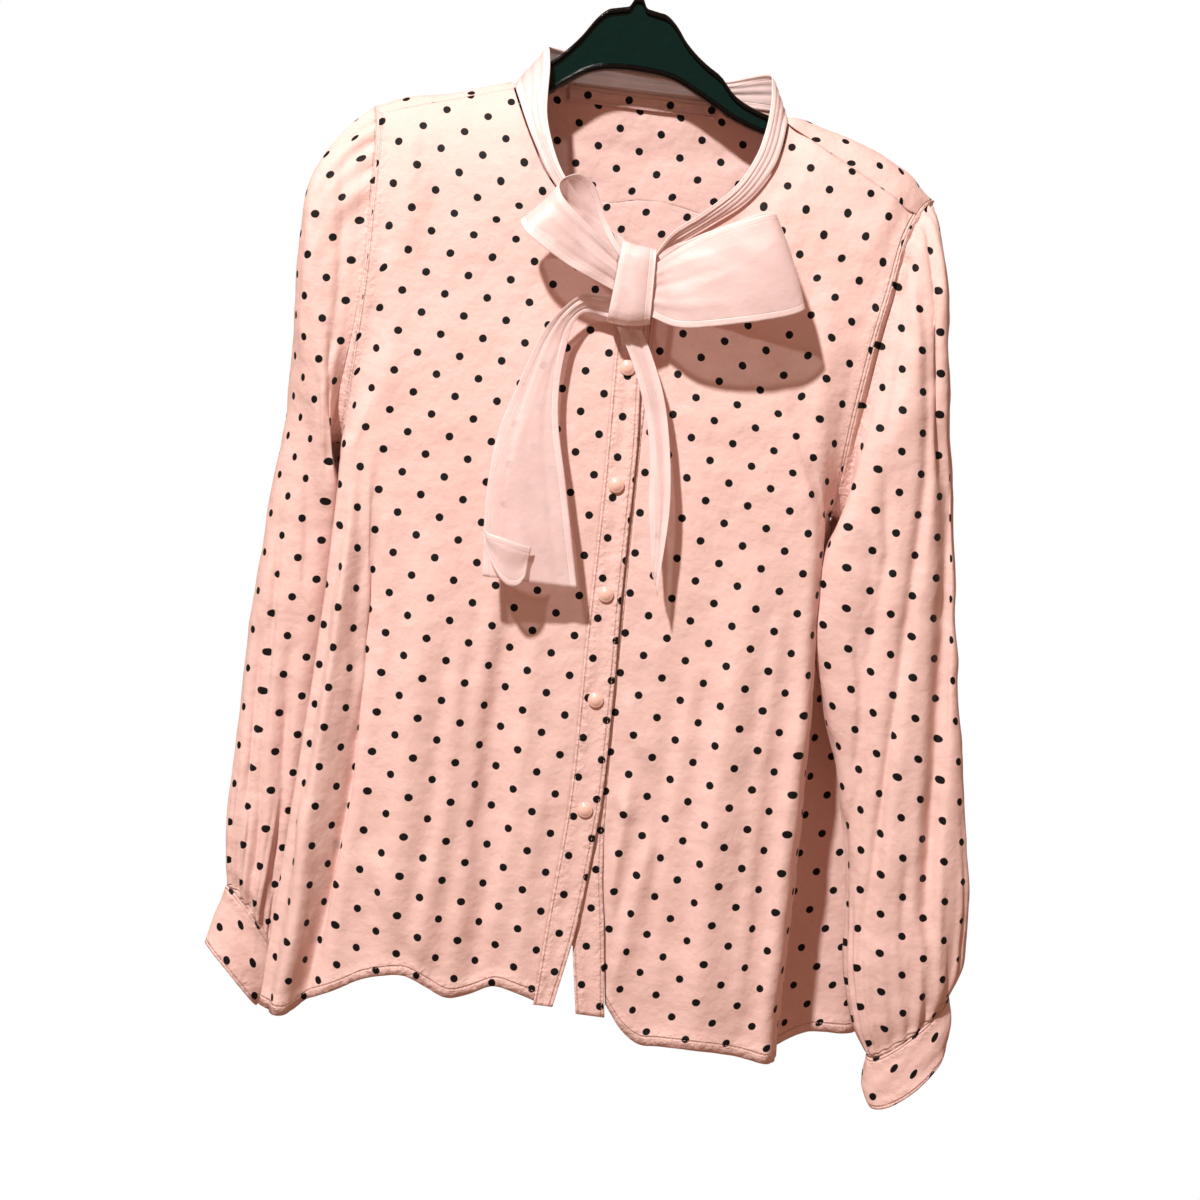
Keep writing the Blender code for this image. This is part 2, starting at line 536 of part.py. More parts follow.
# Left and right loops of the bow, each a band that goes out at the back and returns in front
ribbon("bow_loop_right", ((9, -47.6, -169.2, 9, -47.6, -186), (-5, -45, -147, -18, -45, -174),
                          (-14, -44, -128, -40, -45, -164), (-26, -48, -121, -56, -50, -159),
                          (-37, -54, -129, -61, -56, -158), (-33, -60, -140, -52, -61, -168),
                          (-14, -65, -156, -24, -65, -184), (8, -65.6, -173.2, 8, -65.6, -197)), 20, 4, 0.5)
ribbon("bow_loop_left", ((31.5, -48, -172, 31.5, -48, -194), (55, -46, -155, 55, -46, -200),
                         (82, -46, -141, 90, -46, -197), (102, -50, -132, 126, -50, -192),
                         (109, -56, -133, 136, -57, -194), (101, -63, -135, 122, -63, -201),
                         (76, -67, -146, 84, -67, -211), (52, -67, -160, 54, -67, -216),
                         (31.5, -64.5, -177, 31.5, -64, -210)), 22, 5, 0.5)

# Tails of the bow, hanging from behind the knot
ribbon("tail_right", ((7, -51, -215.1, 7, -56, -200), (-9, -51, -213, -12, -56, -201),
                      (-17, -52, -220, -27, -57, -214), (-20, -52, -235, -39, -56, -234), (-22, -51, -262, -50, -55, -268),
                      (-19, -50, -292, -59, -53, -300), (-10, -49, -328, -62, -51, -334),
                      (-2, -49, -362, -61, -50, -366), (7, -49, -400, -58, -50, -399)), 20, 5, 0.7)
ribbon("tail_left", ((12, -52, -220.1, 29, -54, -220.1), (24, -51, -240, 39, -53, -238), (36, -50, -268, 52, -52, -264),
                     (46, -50, -302, 60, -52, -298), (50, -50, -340, 65, -52, -338), (50, -50, -378, 68, -52, -382)),
       16, 6, 1.6)

# Knot: a wrapped band open towards both loops
KNOT = Table("x front back low high", (6, -70, -43.5, -217, -163), (18, -71, -43.5, -219, -164),
             (35, -69, -43.5, -216, -166))
knot = []
for x in (6, 11, 18, 25, 31, 35):
    row = {name: KNOT.at(name, x) for name in KNOT.columns[1:]}
    line = []
    for angle in range(0, 360, 20):
        c, s = cos(radians(angle)), sin(radians(angle))
        y = (row["front"] + row["back"]) / 2 + (row["front"] - row["back"]) / 2 * c * (abs(c) + 0.01) ** -0.45
        z = (row["low"] + row["high"]) / 2 + (row["high"] - row["low"]) / 2 * s * (abs(s) + 0.01) ** -0.5
        squeeze = 0.8 + 0.2 * ((row["high"] - z) / (row["high"] - row["low"]))
        line.append((mix(20.5, x - (z + 190) * -0.03, squeeze), y, z))
    knot.append(line)
cloth("bow_knot", knot, 1.2, VEIL, around=True)


# Buttons: a domed profile turned about an axis that points to the front
BUTTON_DOME = ((0, 0), (4.4, 0), (5.5, 0.9), (5.5, 1.7), (4.2, 2.9), (2.2, 3.5), (0, 3.7))
BUTTONS = Table("n x z", (1, 23, -247), (2, 25, -328), (3, 27, -404), (4, 29, -478), (5, 31, -556))


def button(number):
    x, z = BUTTONS.at("x", number), BUTTONS.at("z", number)
    name = f"button_{number}"
    mesh = bpy.data.meshes.new(name)
    edges = [(k, k + 1) for k in range(len(BUTTON_DOME) - 1)]
    mesh.from_pydata([(radius / 1000, 0, height / 1000) for radius, height in BUTTON_DOME], edges, [])
    thing = add_object(name, mesh, (0.92, 0.72, 0.64), 0.3)
    thing.location = in_blender((x, front_depth(RIGHT, x, z) - CLOTH / 2 - BUTTON_GAP, z))
    thing.rotation_euler.x = pi / 2
    screw = thing.modifiers.new("turn", "SCREW")
    screw.steps = screw.render_steps = 14
    screw.use_merge_vertices = True
    screw.merge_threshold = 0.00001
    screw.use_normal_calculate = True


for number in range(1, 6):
    button(number)

# Hanger body: an arm with raised rims, sections along X; the tilt follows how it hangs in the picture
HANGER = Table("x top low", (0, 7, -43), (3, 6, -43), (6, 0.5, -43.2), (12, -1.2, -43.5), (20, -3, -44.5),
               (28, -10, -46.5), (36, -21, -50), (46, -31.5, -56), (57, -40.5, -63), (66, -47, -68.5),
               (75, -57.8, -74), (79, -61.8, -76), (83, -64.2, -78), (92, -67, -81), (112, -74, -88),
               (135, -82.5, -97), (150, -87, -102), (176, -96, -110), (184, -100, -109))
HANGER_TILT = 0.075
REACHES = (3, 6, 10, 15, 20, 25, 30, 36, 44, 53, 63, 75, 92, 112, 135, 158, 176, 184)
sections = []
for x in [-reach for reach in reversed(REACHES)] + [0, *REACHES]:
    reach = abs(x)
    tip = 0.5 if reach == REACHES[-1] else 1.0
    high = HANGER.at("top", reach) + HANGER_TILT * x * ease(0, 60, reach)
    low = HANGER.at("low", reach) + HANGER_TILT * x * ease(0, 60, reach)
    wide, web, rim = 6.5 * tip, 4.2 * tip, min(3.4, (high - low) * 0.22)
    half = [(wide - 1.6, high), (wide, high - 1.4), (wide, high - rim), (web, high - rim - 1),
            (web, low + rim + 1), (wide, low + rim), (wide, low + 1.4), (wide - 1.6, low)]
    sections.append([(x, y, z) for y, z in half] + [(x, -y, z) for y, z in reversed(half)])
bm = bmesh.new()
rings = [[bm.verts.new(in_blender(point)) for point in section] for section in sections]
for low, high in zip(rings, rings[1:]):
    for k in range(len(low)):
        n = (k + 1) % len(low)
        bm.faces.new((low[k], low[n], high[n], high[k]))
for ring in (rings[0], rings[-1]):
    for k in range(len(ring) // 2 - 1):
        bm.faces.new((ring[k], ring[k + 1], ring[-2 - k], ring[-1 - k]))
bmesh.ops.recalc_face_normals(bm, faces=bm.faces)
hanger_mesh = bpy.data.meshes.new("hanger_body")
bm.to_mesh(hanger_mesh)
bm.free()
add_object("hanger_body", hanger_mesh, (0.02, 0.07, 0.055), 0.25)

# Wire hook: its inside top is the part's origin
WIRE = 1.9
RING = 20.0
middle = HOOK_TOP + WIRE - RING
path = [(0, 7.6), (0, 12), (1.4, 17), (4.6, 21)]
path += [(RING * cos(radians(a)), middle + RING * sin(radians(a))) for a in range(-62, 208, 15)]
wire = bpy.data.curves.new("hanger_hook", "CURVE")
wire.dimensions = "3D"
wire.bevel_depth = WIRE / 1000
wire.bevel_resolution = 2
wire.use_fill_caps = True
line = wire.splines.new("POLY")
line.points.add(len(path) - 1)
for point, (x, z) in zip(line.points, path):
    point.co = (*in_blender((x, 0, z)), 1)
add_object("hanger_hook", wire, (0.6, 0.6, 0.6), 0.3, 1.0)
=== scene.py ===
# Looks of the tie neck blouse on its hanger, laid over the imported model.
# Tables are in millimetres: x is the wearer's left, the front faces -y, heights are below the hanger body's top.
from bisect import bisect_right
from math import acos, cos, exp, pi, radians, sin, sqrt

import bmesh
import bpy
import numpy as np
from mathutils import Matrix, Vector


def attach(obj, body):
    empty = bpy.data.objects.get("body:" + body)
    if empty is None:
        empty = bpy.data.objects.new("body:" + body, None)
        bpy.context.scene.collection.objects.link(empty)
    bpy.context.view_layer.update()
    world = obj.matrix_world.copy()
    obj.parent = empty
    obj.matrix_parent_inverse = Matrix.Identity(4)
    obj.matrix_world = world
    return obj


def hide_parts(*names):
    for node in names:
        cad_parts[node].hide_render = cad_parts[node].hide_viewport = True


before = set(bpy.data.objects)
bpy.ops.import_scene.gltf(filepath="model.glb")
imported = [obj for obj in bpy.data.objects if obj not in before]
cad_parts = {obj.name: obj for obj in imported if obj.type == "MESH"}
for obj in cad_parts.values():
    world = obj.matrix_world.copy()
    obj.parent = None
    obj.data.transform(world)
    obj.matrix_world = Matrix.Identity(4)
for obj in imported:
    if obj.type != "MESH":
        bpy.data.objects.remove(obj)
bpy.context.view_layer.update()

hookTop = 60.0
clothWall = 1.2
seamGap = 0.45
chestDepth = 36.0
spineDepth = 27.0
neckSpan = (-79.0, 113.0)
hemEnds = (-725.0, -708.0)
buttonGap = 0.45


# A short table with named columns, read smoothly along its first column.
class Table:
    def __init__(self, columns, *rows):
        self.columns = columns.split()
        self.rows = sorted(rows)

    def at(self, column, key):
        keys = [row[0] for row in self.rows]
        values = [row[self.columns.index(column)] for row in self.rows]
        if key <= keys[0]:
            return values[0]
        if key >= keys[-1]:
            return values[-1]
        i = bisect_right(keys, key) - 1
        gaps = [b - a for a, b in zip(keys, keys[1:])]
        rises = [(b - a) / gap for a, b, gap in zip(values, values[1:], gaps)]

        def slope(k):
            if k in (0, len(keys) - 1):
                return rises[min(k, len(rises) - 1)]
            before, after = rises[k - 1], rises[k]
            return 0.0 if before * after <= 0 else 2 * before * after / (before + after)

        f = (key - keys[i]) / gaps[i]
        h00, h10 = (1 + 2 * f) * (1 - f) ** 2, f * (1 - f) ** 2
        h01, h11 = f * f * (3 - 2 * f), f * f * (f - 1)
        return (h00 * values[i] + h10 * gaps[i] * slope(i)
                + h01 * values[i + 1] + h11 * gaps[i] * slope(i + 1))


def mix(a, b, f):
    return a + (b - a) * f


def ease(a, b, value):
    f = min(1.0, max(0.0, (value - a) / (b - a)))
    return f * f * (3 - 2 * f)


def spline(points, f):
    n = len(points) - 1
    i = min(int(f * n), n - 1)
    u = f * n - i
    a, b = points[i], points[i + 1]
    before = points[i - 1] if i else tuple(2 * p - q for p, q in zip(a, b))
    after = points[i + 2] if i + 2 <= n else tuple(2 * q - p for p, q in zip(a, b))
    return tuple(0.5 * (2 * q + (r - p) * u + (2 * p - 5 * q + 4 * r - t) * u * u
                        + (3 * q - p - 3 * r + t) * u ** 3)
                 for p, q, r, t in zip(before, a, b, after))


# Sizes read from the picture
shoulderRight = Table("x top", (-220, -104), (-195, -94), (-174, -88), (-160, -82.5), (-120, -72.5),
    (-100, -66.5), (-82, -60.5), (-60, -46), (20, -27))
shoulderLeft = Table("x top", (20, -27), (90, -46), (112, -58.5), (150, -69.5), (180, -78.5),
    (205, -92), (221, -106))
armholeRight = Table("angle x", (0, -174), (30, -168), (60, -165), (90, -164), (130, -168), (180, -172),
    (230, -166), (270, -163), (310, -167), (340, -171), (360, -174))
armholeLeft = Table("angle x", (0, 221), (28, 208), (45, 201), (61, 197), (90, 188), (127, 181),
    (180, 178), (230, 186), (270, 198), (310, 210), (340, 217), (360, 221))
neckRight = Table("f x z", (0, 12, -163), (0.2, -12, -150), (0.4, -40, -133), (0.7, -62, -100), (1, -79, -65.5))
neckLeft = Table("f x z", (0, 36, -167), (0.25, 60, -150), (0.55, 95, -120), (0.78, 110, -90), (1, 113, -67))
neckBack = Table("x y z", (-79, -10, -65.5), (-77, 2, -60), (-66, 12, -57.5), (-45, 17, -55.5), (20, 19.5, -55.5),
    (70, 18, -55), (95, 14, -55), (109, 5, -57.5), (113, -13, -67))
stitchLine = Table("z x", (-700, 12), (-640, 15), (-540, 20), (-440, 18), (-340, 17), (-240, 14), (-163, 12))
placketEdge = Table("z x", (-700, 25), (-640, 35), (-580, 40), (-540, 42), (-480, 41), (-400, 38),
    (-300, 36), (-250, 33), (-163, 33))
underEdge = Table("z x", (-703, 62), (-680, 59), (-640, 54), (-600, 48), (-540, 44), (-400, 40), (-163, 35))
underWidth = Table("z w", (-703, 20), (-640, 22), (-163, 22))
sideRight = Table("z ridge back seam depth", (-730, -183, -170, -160, 6), (-620, -177, -166, -156, 5),
    (-520, -172, -164, -162, 11), (-440, -169, -164, -171, 19), (-400, -168, -165, -175, 21),
    (-350, -168, -166, -176, 17), (-325, -168, -168, -172, 0))
sideLeft = Table("z ridge dip dipY fold foldY seam depth", (-730, 185, 194, 9, 234, 9, 252, 22),
    (-640, 184, 192, 9, 228, 9, 246, 22), (-560, 182, 190, 9, 218, 10, 234, 22),
    (-480, 179, 187, 10, 201, 12, 211, 21), (-440, 177, 183, 8, 192, 12, 199, 20),
    (-400, 175, 178, 3, 184, 10, 191, 18), (-365, 173, 175, -6, 180, 6, 187, 15),
    (-335, 171, 173, -20, 175, -10, 178, -1))
hemRight = Table("x z", (-183, -724), (-166, -727), (-144, -714), (-123, -703), (-102, -692), (-78, -689),
    (-60, -699), (-43, -703), (-31, -696), (-16, -690), (14, -697))
hemLeft = Table("x z", (44, -703), (65, -694), (82, -720), (132, -717), (189, -722), (205, -711), (252, -708))
hemBack = Table("x z", (-165, -722), (-130, -690), (-60, -678), (30, -673), (120, -682), (200, -700), (252, -708))
belly = Table("z y", (-730, 10), (-450, 9), (-300, 7), (-240, 4), (-190, 0))

# Folds on a panel: path by height, half width, how far back it goes, and where it fades in
foldsRight = (
    (Table("z x", (-715, -152), (-640, -139), (-520, -132), (-440, -136), (-330, -146)), 7, 9, -320, -430),
    (Table("z x", (-715, -167), (-520, -158), (-330, -160)), 11, -9, -320, -430),
    (Table("z x", (-700, -28), (-540, -38), (-420, -40)), 13, 5, -380, -470),
    (Table("z x", (-700, -88), (-500, -92), (-330, -100)), 16, -4, -300, -450),
)
foldsLeft = (
    (Table("z x", (-700, 92), (-400, 96)), 15, 4, -330, -500),
    (Table("z x", (-700, 130), (-400, 128)), 16, -4, -330, -500),
    (Table("z x", (-700, 66), (-560, 52)), 9, 4, -540, -640),
    (Table("z x", (-700, 160), (-400, 152)), 12, 3, -330, -480),
)
foldsBack = (
    (Table("z x", (-700, -90), (-300, -70)), 20, -6, -240, -420),
    (Table("z x", (-700, -30), (-300, -22)), 20, 6, -240, -420),
    (Table("z x", (-700, 40), (-300, 30)), 22, -6, -240, -420),
    (Table("z x", (-700, 110), (-300, 85)), 22, 6, -240, -420),
    (Table("z x", (-700, 180), (-300, 140)), 22, -6, -240, -420),
)


def folded(folds, x, z):
    total = 0.0
    for path, width, depth, start, full in folds:
        total += depth * exp(-((x - path.at("x", z)) / width) ** 2) * ease(-start, -full, -z)
    return total


# Each side's armhole: highest and lowest points, the angle of the shoulder seam that lies on the front,
# and the origin of the front's dot grid
rightSide = dict(name="right", out=-1, shoulder=shoulderRight, armhole=armholeRight, top=-88.0, low=-325.0,
    seam=18.0, neck=neckRight, folds=foldsRight, hem=hemRight,
    hemEnd=hemEnds[0], hemStart=-697.0, origin=(79, 98))
leftSide = dict(name="left", out=1, shoulder=shoulderLeft, armhole=armholeLeft, top=-106.0, low=-335.0,
    seam=27.0, neck=neckLeft, folds=foldsLeft, hem=hemLeft,
    hemEnd=hemEnds[1], hemStart=-703.0, origin=(-73, 289))
lowerRows = 11


def halfHeight(side):
    return (side["top"] - side["low"]) / 2


def frontAngles(side):
    return [180, 157, 135, 112, 90] + [mix(90, side["seam"], k / 7) for k in range(1, 8)]


def backAngles(side):
    return [180, 202, 225, 247, 270] + [mix(270, 360 + side["seam"], k / 11) for k in range(1, 12)]


def armhole(side, angle):
    a = radians(angle)
    depth = chestDepth if sin(a) > 0 else spineDepth
    z = (side["top"] + side["low"]) / 2 + halfHeight(side) * cos(a)
    return side["armhole"].at("x", angle % 360), -depth * sin(a), z


# How far forward the front lies at a point of the picture
def frontDepth(side, x, z):
    down = (side["shoulder"].at("top", x) - z) / halfHeight(side)
    lean = sin(acos(1 - down)) if 0 < down < 1 else float(down >= 1)
    return -chestDepth * lean - belly.at("y", z)


def sideSeam(side, z):
    if side is rightSide:
        return sideRight.at("seam", z), sideRight.at("depth", z)
    return sideLeft.at("seam", z), sideLeft.at("depth", z)


# The seam end of a front's row, then the turn of the cloth from the flat front to that seam
def outerEdge(side, row):
    if row > lowerRows:
        return armhole(side, frontAngles(side)[row - lowerRows])
    z = mix(side["hemEnd"], side["low"], row / lowerRows)
    return (*sideSeam(side, z), z)


def innerEdge(side, row, rows, below):
    count = rows - 1
    neckRows = 6
    if row > count - neckRows:
        f = (row - count + neckRows) / neckRows
        return side["neck"].at("x", f), side["neck"].at("z", f)
    z = mix(side["hemStart"], side["neck"].at("z", 0), row / (count - neckRows))
    return below(z), z


def turn(side, start, edge, z):
    x, y = edge[0], edge[1]
    out = side["out"]
    if side is rightSide:
        ridge = sideRight.at("ridge", z) if z < -209 else x
        back = sideRight.at("back", z)
        if z > side["low"]:
            back = mix(ridge, x, 0.5)
        path = [(ridge, start + 8), (back, mix(start, y, 0.62)), (x, y)]
    else:
        ridge = sideLeft.at("ridge", z) if z < -220 else x
        row = {name: sideLeft.at(name, z) for name in ("dip", "dipY", "fold", "foldY")}
        if z > side["low"]:
            row = dict(dip=mix(ridge, x, 0.35), dipY=mix(start, y, 0.5), fold=mix(ridge, x, 0.7),
                       foldY=mix(start, y, 0.75))
        path = [(ridge, start + 8), (mix(ridge, row["dip"], 0.45), mix(start, row["dipY"], 0.62)),
                (row["dip"], row["dipY"]), (row["fold"], row["foldY"]), (x, y)]
    size = min(1.0, abs(y - start) / 24)
    path[0] = (path[0][0], mix(start, start + 8, size))
    return [(path[0][0] - out * mix(2.0, 8.0, size), start)] + path


def frontPoint(side, s, flat, row, below, behind):
    edge = outerEdge(side, row)
    xIn, zIn = innerEdge(side, row, frontRows, below)
    angle = frontAngles(side)[row - lowerRows] if row > lowerRows else 180
    plain = ease(180, 90, angle)
    z = mix(zIn, edge[2], s)
    start = frontDepth(side, edge[0], edge[2]) if angle < 90 else -chestDepth - belly.at("y", edge[2])
    path = turn(side, start, edge, edge[2])
    if s <= flat:
        x = mix(xIn, path[0][0], s / flat)
        y = frontDepth(side, x, z) + folded(side["folds"], x, z) * (1 - ease(flat - 0.02, flat, s))
        y += (start - frontDepth(side, edge[0], edge[2])) * ease(flat - 0.25, flat, s) * (angle >= 90)
    else:
        x, y = spline(path, (s - flat) / (1 - flat))
    xPlain = mix(xIn, edge[0], s)
    yPlain = frontDepth(side, xPlain, z)
    yPlain += (edge[1] - frontDepth(side, edge[0], edge[2])) * ease(0.8, 1, s)
    x, y = mix(x, xPlain, plain), mix(y, yPlain, plain)
    if row < 4:
        first = mix(innerEdge(side, 0, frontRows, below)[1], outerEdge(side, 0)[2], s)
        z += (side["hem"].at("z", x) - first) * (1 - row / 4) ** 1.5
    return x, y + behind * (1 - ease(0.0, 0.25, s)), z


frontRows = lowerRows + 12
rightColumns = (0, 0.07, 0.14, 0.21, 0.28, 0.35, 0.42, 0.49, 0.56, 0.62, 0.66, 0.695, 0.725, 0.755,
    0.785, 0.815, 0.84, 0.875, 0.915, 0.96, 1)
leftColumns = (0, 0.07, 0.14, 0.21, 0.28, 0.35, 0.42, 0.5, 0.55, 0.6, 0.65, 0.7, 0.76, 0.82, 0.88, 0.94, 1)


def frontGrid(side, columns, flat, below, behind):
    return [[frontPoint(side, s, flat, row, below, behind) for s in columns]
            for row in range(frontRows)]


frontRight = frontGrid(rightSide, rightColumns, 0.84, lambda z: stitchLine.at("x", z), 0.0)
frontLeft = frontGrid(leftSide, leftColumns, 0.6, lambda z: underEdge.at("x", z), 3.2)


# Back panel, from the hem over the shoulders to the seams on the front
def backEnd(side, x):
    if x < neckSpan[0] or x > neckSpan[1]:
        corner = side["neck"].at("x", 1), side["neck"].at("z", 1)
        far = armhole(side, side["seam"])
        z = mix(corner[1], far[2], (x - corner[0]) / (far[0] - corner[0]))
        return frontDepth(side, x, z), z
    return neckBack.at("y", x), neckBack.at("z", x)


def backPoint(s, row):
    side = rightSide if s < 0.5 else leftSide
    edges = []
    for half in (rightSide, leftSide):
        if row > lowerRows:
            edges.append(armhole(half, backAngles(half)[row - lowerRows]))
        else:
            z = mix(half["hemEnd"], half["low"], row / lowerRows)
            edges.append((*sideSeam(half, z), z))
    x = mix(edges[0][0], edges[1][0], s)
    edge = edges[0] if side is rightSide else edges[1]
    across = abs(x - edge[0])
    rounded = sqrt(1 - (1 - min(1.0, across / 24)) ** 2)
    if row <= lowerRows + 4:
        z = mix(edges[0][2], edges[1][2], s)
        y = spineDepth + belly.at("y", z) * 0.8 + folded(foldsBack, x, z)
        if row < 5:
            z += (hemBack.at("z", x) - mix(*hemEnds, s)) * (1 - row / 5) ** 1.5
        return x, mix(edge[1], y, rounded), z
    steps = row - lowerRows - 4
    xTop = mix(*(armhole(half, half["seam"])[0] for half in (rightSide, leftSide)), s)
    yEnd, zEnd = backEnd(side, xTop)
    depth = chestDepth if yEnd < 0 else spineDepth
    end = radians(360) + acos(sqrt(max(0.0, 1 - (yEnd / depth) ** 2))) * (1 if yEnd < 0 else -1)
    half = halfHeight(side)
    angle = mix(radians(270), end, steps / 11)
    crown = side["shoulder"].at("top", x)
    miss = zEnd - (side["shoulder"].at("top", xTop) - half * (1 - cos(end)))
    z = crown - half * (1 - cos(angle)) + miss * steps / 11
    y = -(chestDepth if sin(angle) > 0 else spineDepth) * sin(angle)
    z = mix(edge[2], z, ease(0, 12, across))
    return x, mix(edge[1], y, ease(0, 12, across)), z


topEnds = armhole(rightSide, rightSide["seam"])[0], armhole(leftSide, leftSide["seam"])[0]
leftNeck, rightNeck = [(x - topEnds[0]) / (topEnds[1] - topEnds[0]) for x in neckSpan]
backColumns = ([0, 0.02, 0.045, 0.08] + [mix(0.12, leftNeck, k / 3) for k in range(4)]
    + [leftNeck + step for step in (0.012, 0.035, 0.08)]
    + [mix(leftNeck + 0.08, rightNeck - 0.08, k / 6) for k in range(1, 7)]
    + [rightNeck - step for step in (0.035, 0.012, 0)]
    + [mix(rightNeck, 0.88, k / 3) for k in range(1, 4)] + [0.92, 0.955, 0.98, 1])
backPanel = [[backPoint(s, row) for s in backColumns] for row in range(lowerRows + 16)]

# Sleeves: rings from the armhole to the cuff seam, by their outer and inner ends in the picture
sleeveRight = Table("v ox oz ix iz y ry", (0, -176, -90, -174, -326, 0, 32), (0.08, -203, -112, -173.5, -336, -5, 33),
    (0.16, -212, -140, -169, -350, -6, 32), (0.3, -215, -205, -167, -380, -2, 29),
    (0.45, -213, -290, -167.5, -425, 6, 26), (0.6, -220, -390, -167, -485, 7, 25),
    (0.75, -224, -480, -168, -550, 8, 24), (0.9, -225, -590, -174, -640, 8, 23),
    (0.96, -223, -632, -179, -680, 8, 20), (1, -220, -655, -181, -700, 8, 14))
sleeveLeft = Table("v ox oz ix iz y ry", (0, 222, -108, 180, -336, 0, 32), (0.08, 230, -122, 177, -347, -9, 33),
    (0.16, 235, -150, 171, -370, -13, 32), (0.3, 245, -220, 174, -412, -18, 28),
    (0.45, 259, -305, 188, -462, -21, 25), (0.6, 273, -395, 207, -520, -22, 24),
    (0.75, 290, -490, 221, -585, -24, 24), (0.9, 308, -590, 229, -650, -25, 24),
    (0.96, 311, -635, 240, -690, -25, 21), (1, 304, -660, 253, -711, -25, 14))
groovesRight = ((Table("z x", (-650, -203), (-600, -208), (-520, -212), (-450, -213)), 4.5, 8, -430, -500),
    (Table("z x", (-640, -187), (-500, -190), (-340, -184)), 6, 4, -420, -520))
groovesLeft = ((Table("z x", (-660, 281), (-560, 275), (-480, 269), (-400, 263), (-330, 256), (-250, 242)),
    6, 12, -235, -300),
    (Table("z x", (-300, 237), (-228, 229), (-150, 216)), 4.5, 5, -140, -180),
    (Table("z x", (-620, 228), (-400, 211), (-330, 208)), 7, 3, -300, -380))


def sleevePoint(side, rings, grooves, sag, angle, v):
    row = {name: rings.at(name, v) for name in rings.columns[1:]}
    a = radians(angle)
    c, s = cos(a), sin(a)
    x = (row["ox"] + row["ix"]) / 2 + (row["ox"] - row["ix"]) / 2 * c
    z = (row["oz"] + row["iz"]) / 2 + (row["oz"] - row["iz"]) / 2 * c
    y = row["y"] - row["ry"] * s * (abs(s) + 0.001) ** mix(-0.45, -0.2, ease(0.2, 0.6, v))
    start = armhole(side, angle)
    start = (start[0] + side["out"] * (seamGap + 1.6 * (1 - c) / 2), start[1], start[2])
    near = ease(0.0, 0.2, v)
    x, y, z = (mix(p, q, near) for p, q in zip(start, (x, y, z)))
    if s > 0:
        y += folded(grooves, x, z) * s ** 0.5 * (1 - ease(0.78, 0.97, v))
    return x, y, z - sag * abs(s) * ease(0.9, 1, v)


# Cuffs: the sag column lets the near side of a ring hang below or above its ends
cuffRight = Table("v ox oz ix iz y ry sag", (0, -220, -655, -181, -700, 8, 14, -9),
    (0.5, -226, -676, -177, -722, 7, 15, -5), (1, -231, -697, -190, -739, 6, 15, -4))
cuffLeft = Table("v ox oz ix iz y ry sag", (0, 304, -660, 253, -711, -25, 14, 8),
    (0.5, 308, -681, 252, -731, -25, 16, 10), (1, 307, -699, 258, -744, -25, 17, 13))


def cuffPoint(rings, angle, v):
    row = {name: rings.at(name, v) for name in rings.columns[1:]}
    a = radians(angle)
    c, s = cos(a), sin(a)
    x = (row["ox"] + row["ix"]) / 2 + (row["ox"] - row["ix"]) / 2 * c
    z = (row["oz"] + row["iz"]) / 2 + (row["oz"] - row["iz"]) / 2 * c - row["sag"] * abs(s)
    return x, row["y"] - row["ry"] * s * (abs(s) + 0.001) ** -0.2, z


# Button band on top and the band under it, both following the front's own height field
def bandGrid(low, high, rows, lift, left, right, columns):
    grid = []
    for k in range(rows + 1):
        row = []
        for c in range(columns + 1):
            z = mix(low, high, k / rows)
            x = mix(left(z), right(z), c / columns)
            row.append((x, frontDepth(rightSide, x, z) + lift, z))
        grid.append(row)
    return grid


# Dotted strip inside the back neck
tape = []
for drop in (-67.0, -61.5, -56.0):
    tape.append([(x, neckBack.at("y", x) + (-56 - drop) * 0.2 - 2.2, drop + 0.5) for x in range(-42, 75, 13)])

# Collar band: its lower edge follows the neck seam, its free edge is a table along the band
freeEdge = Table("f x y z", (0, 10, -42.9, -174), (0.03, 2, -42.6, -157), (0.1, -20, -42, -139),
    (0.18, -37, -39, -121), (0.26, -49, -33, -96), (0.31, -54, -24, -76), (0.335, -55, -19, -60),
    (0.355, -56, -13, -44), (0.372, -58, -8, -36), (0.39, -59, -2, -33.5), (0.43, -50, 9, -33),
    (0.48, -24, 15, -38), (0.54, 20, 17, -40), (0.6, 62, 14.5, -41), (0.65, 83, 9, -36),
    (0.68, 94, 2, -33.5), (0.7, 98, -4, -35), (0.74, 99, -19, -58), (0.79, 96, -29, -82),
    (0.85, 85, -38, -110), (0.92, 63, -42, -135), (0.98, 40, -42.8, -155), (1, 30, -42.9, -175))
neckWalk = Table("f x", (0.35, -79), (0.37, -78), (0.39, -77), (0.42, -70), (0.45, -58), (0.49, -30),
    (0.54, 15), (0.6, 62), (0.65, 92), (0.68, 106), (0.695, 110), (0.71, 112), (0.73, 113))


def neckSeam(f):
    if f < 0.35:
        g = f / 0.35
        x, z, side = neckRight.at("x", g), neckRight.at("z", g), rightSide
        return x + 1.1, frontDepth(side, x, z) - 0.6, z + 0.8
    if f > 0.73:
        g = (1 - f) / 0.27
        x, z, side = neckLeft.at("x", g), neckLeft.at("z", g), leftSide
        return x - 0.9, frontDepth(side, x, z) - 0.4, z + 0.6
    x = neckWalk.at("x", f)
    return x, neckBack.at("y", x), neckBack.at("z", x) + 1.2


collarSteps = 46
collar = []
for k in range(5):
    line = []
    for i in range(collarSteps + 1):
        f = i / collarSteps
        free = [freeEdge.at(axis, f) for axis in "xyz"]
        line.append(tuple(mix(p, q, k / 4) for p, q in zip(neckSeam(f), free)))
    collar.append(line)

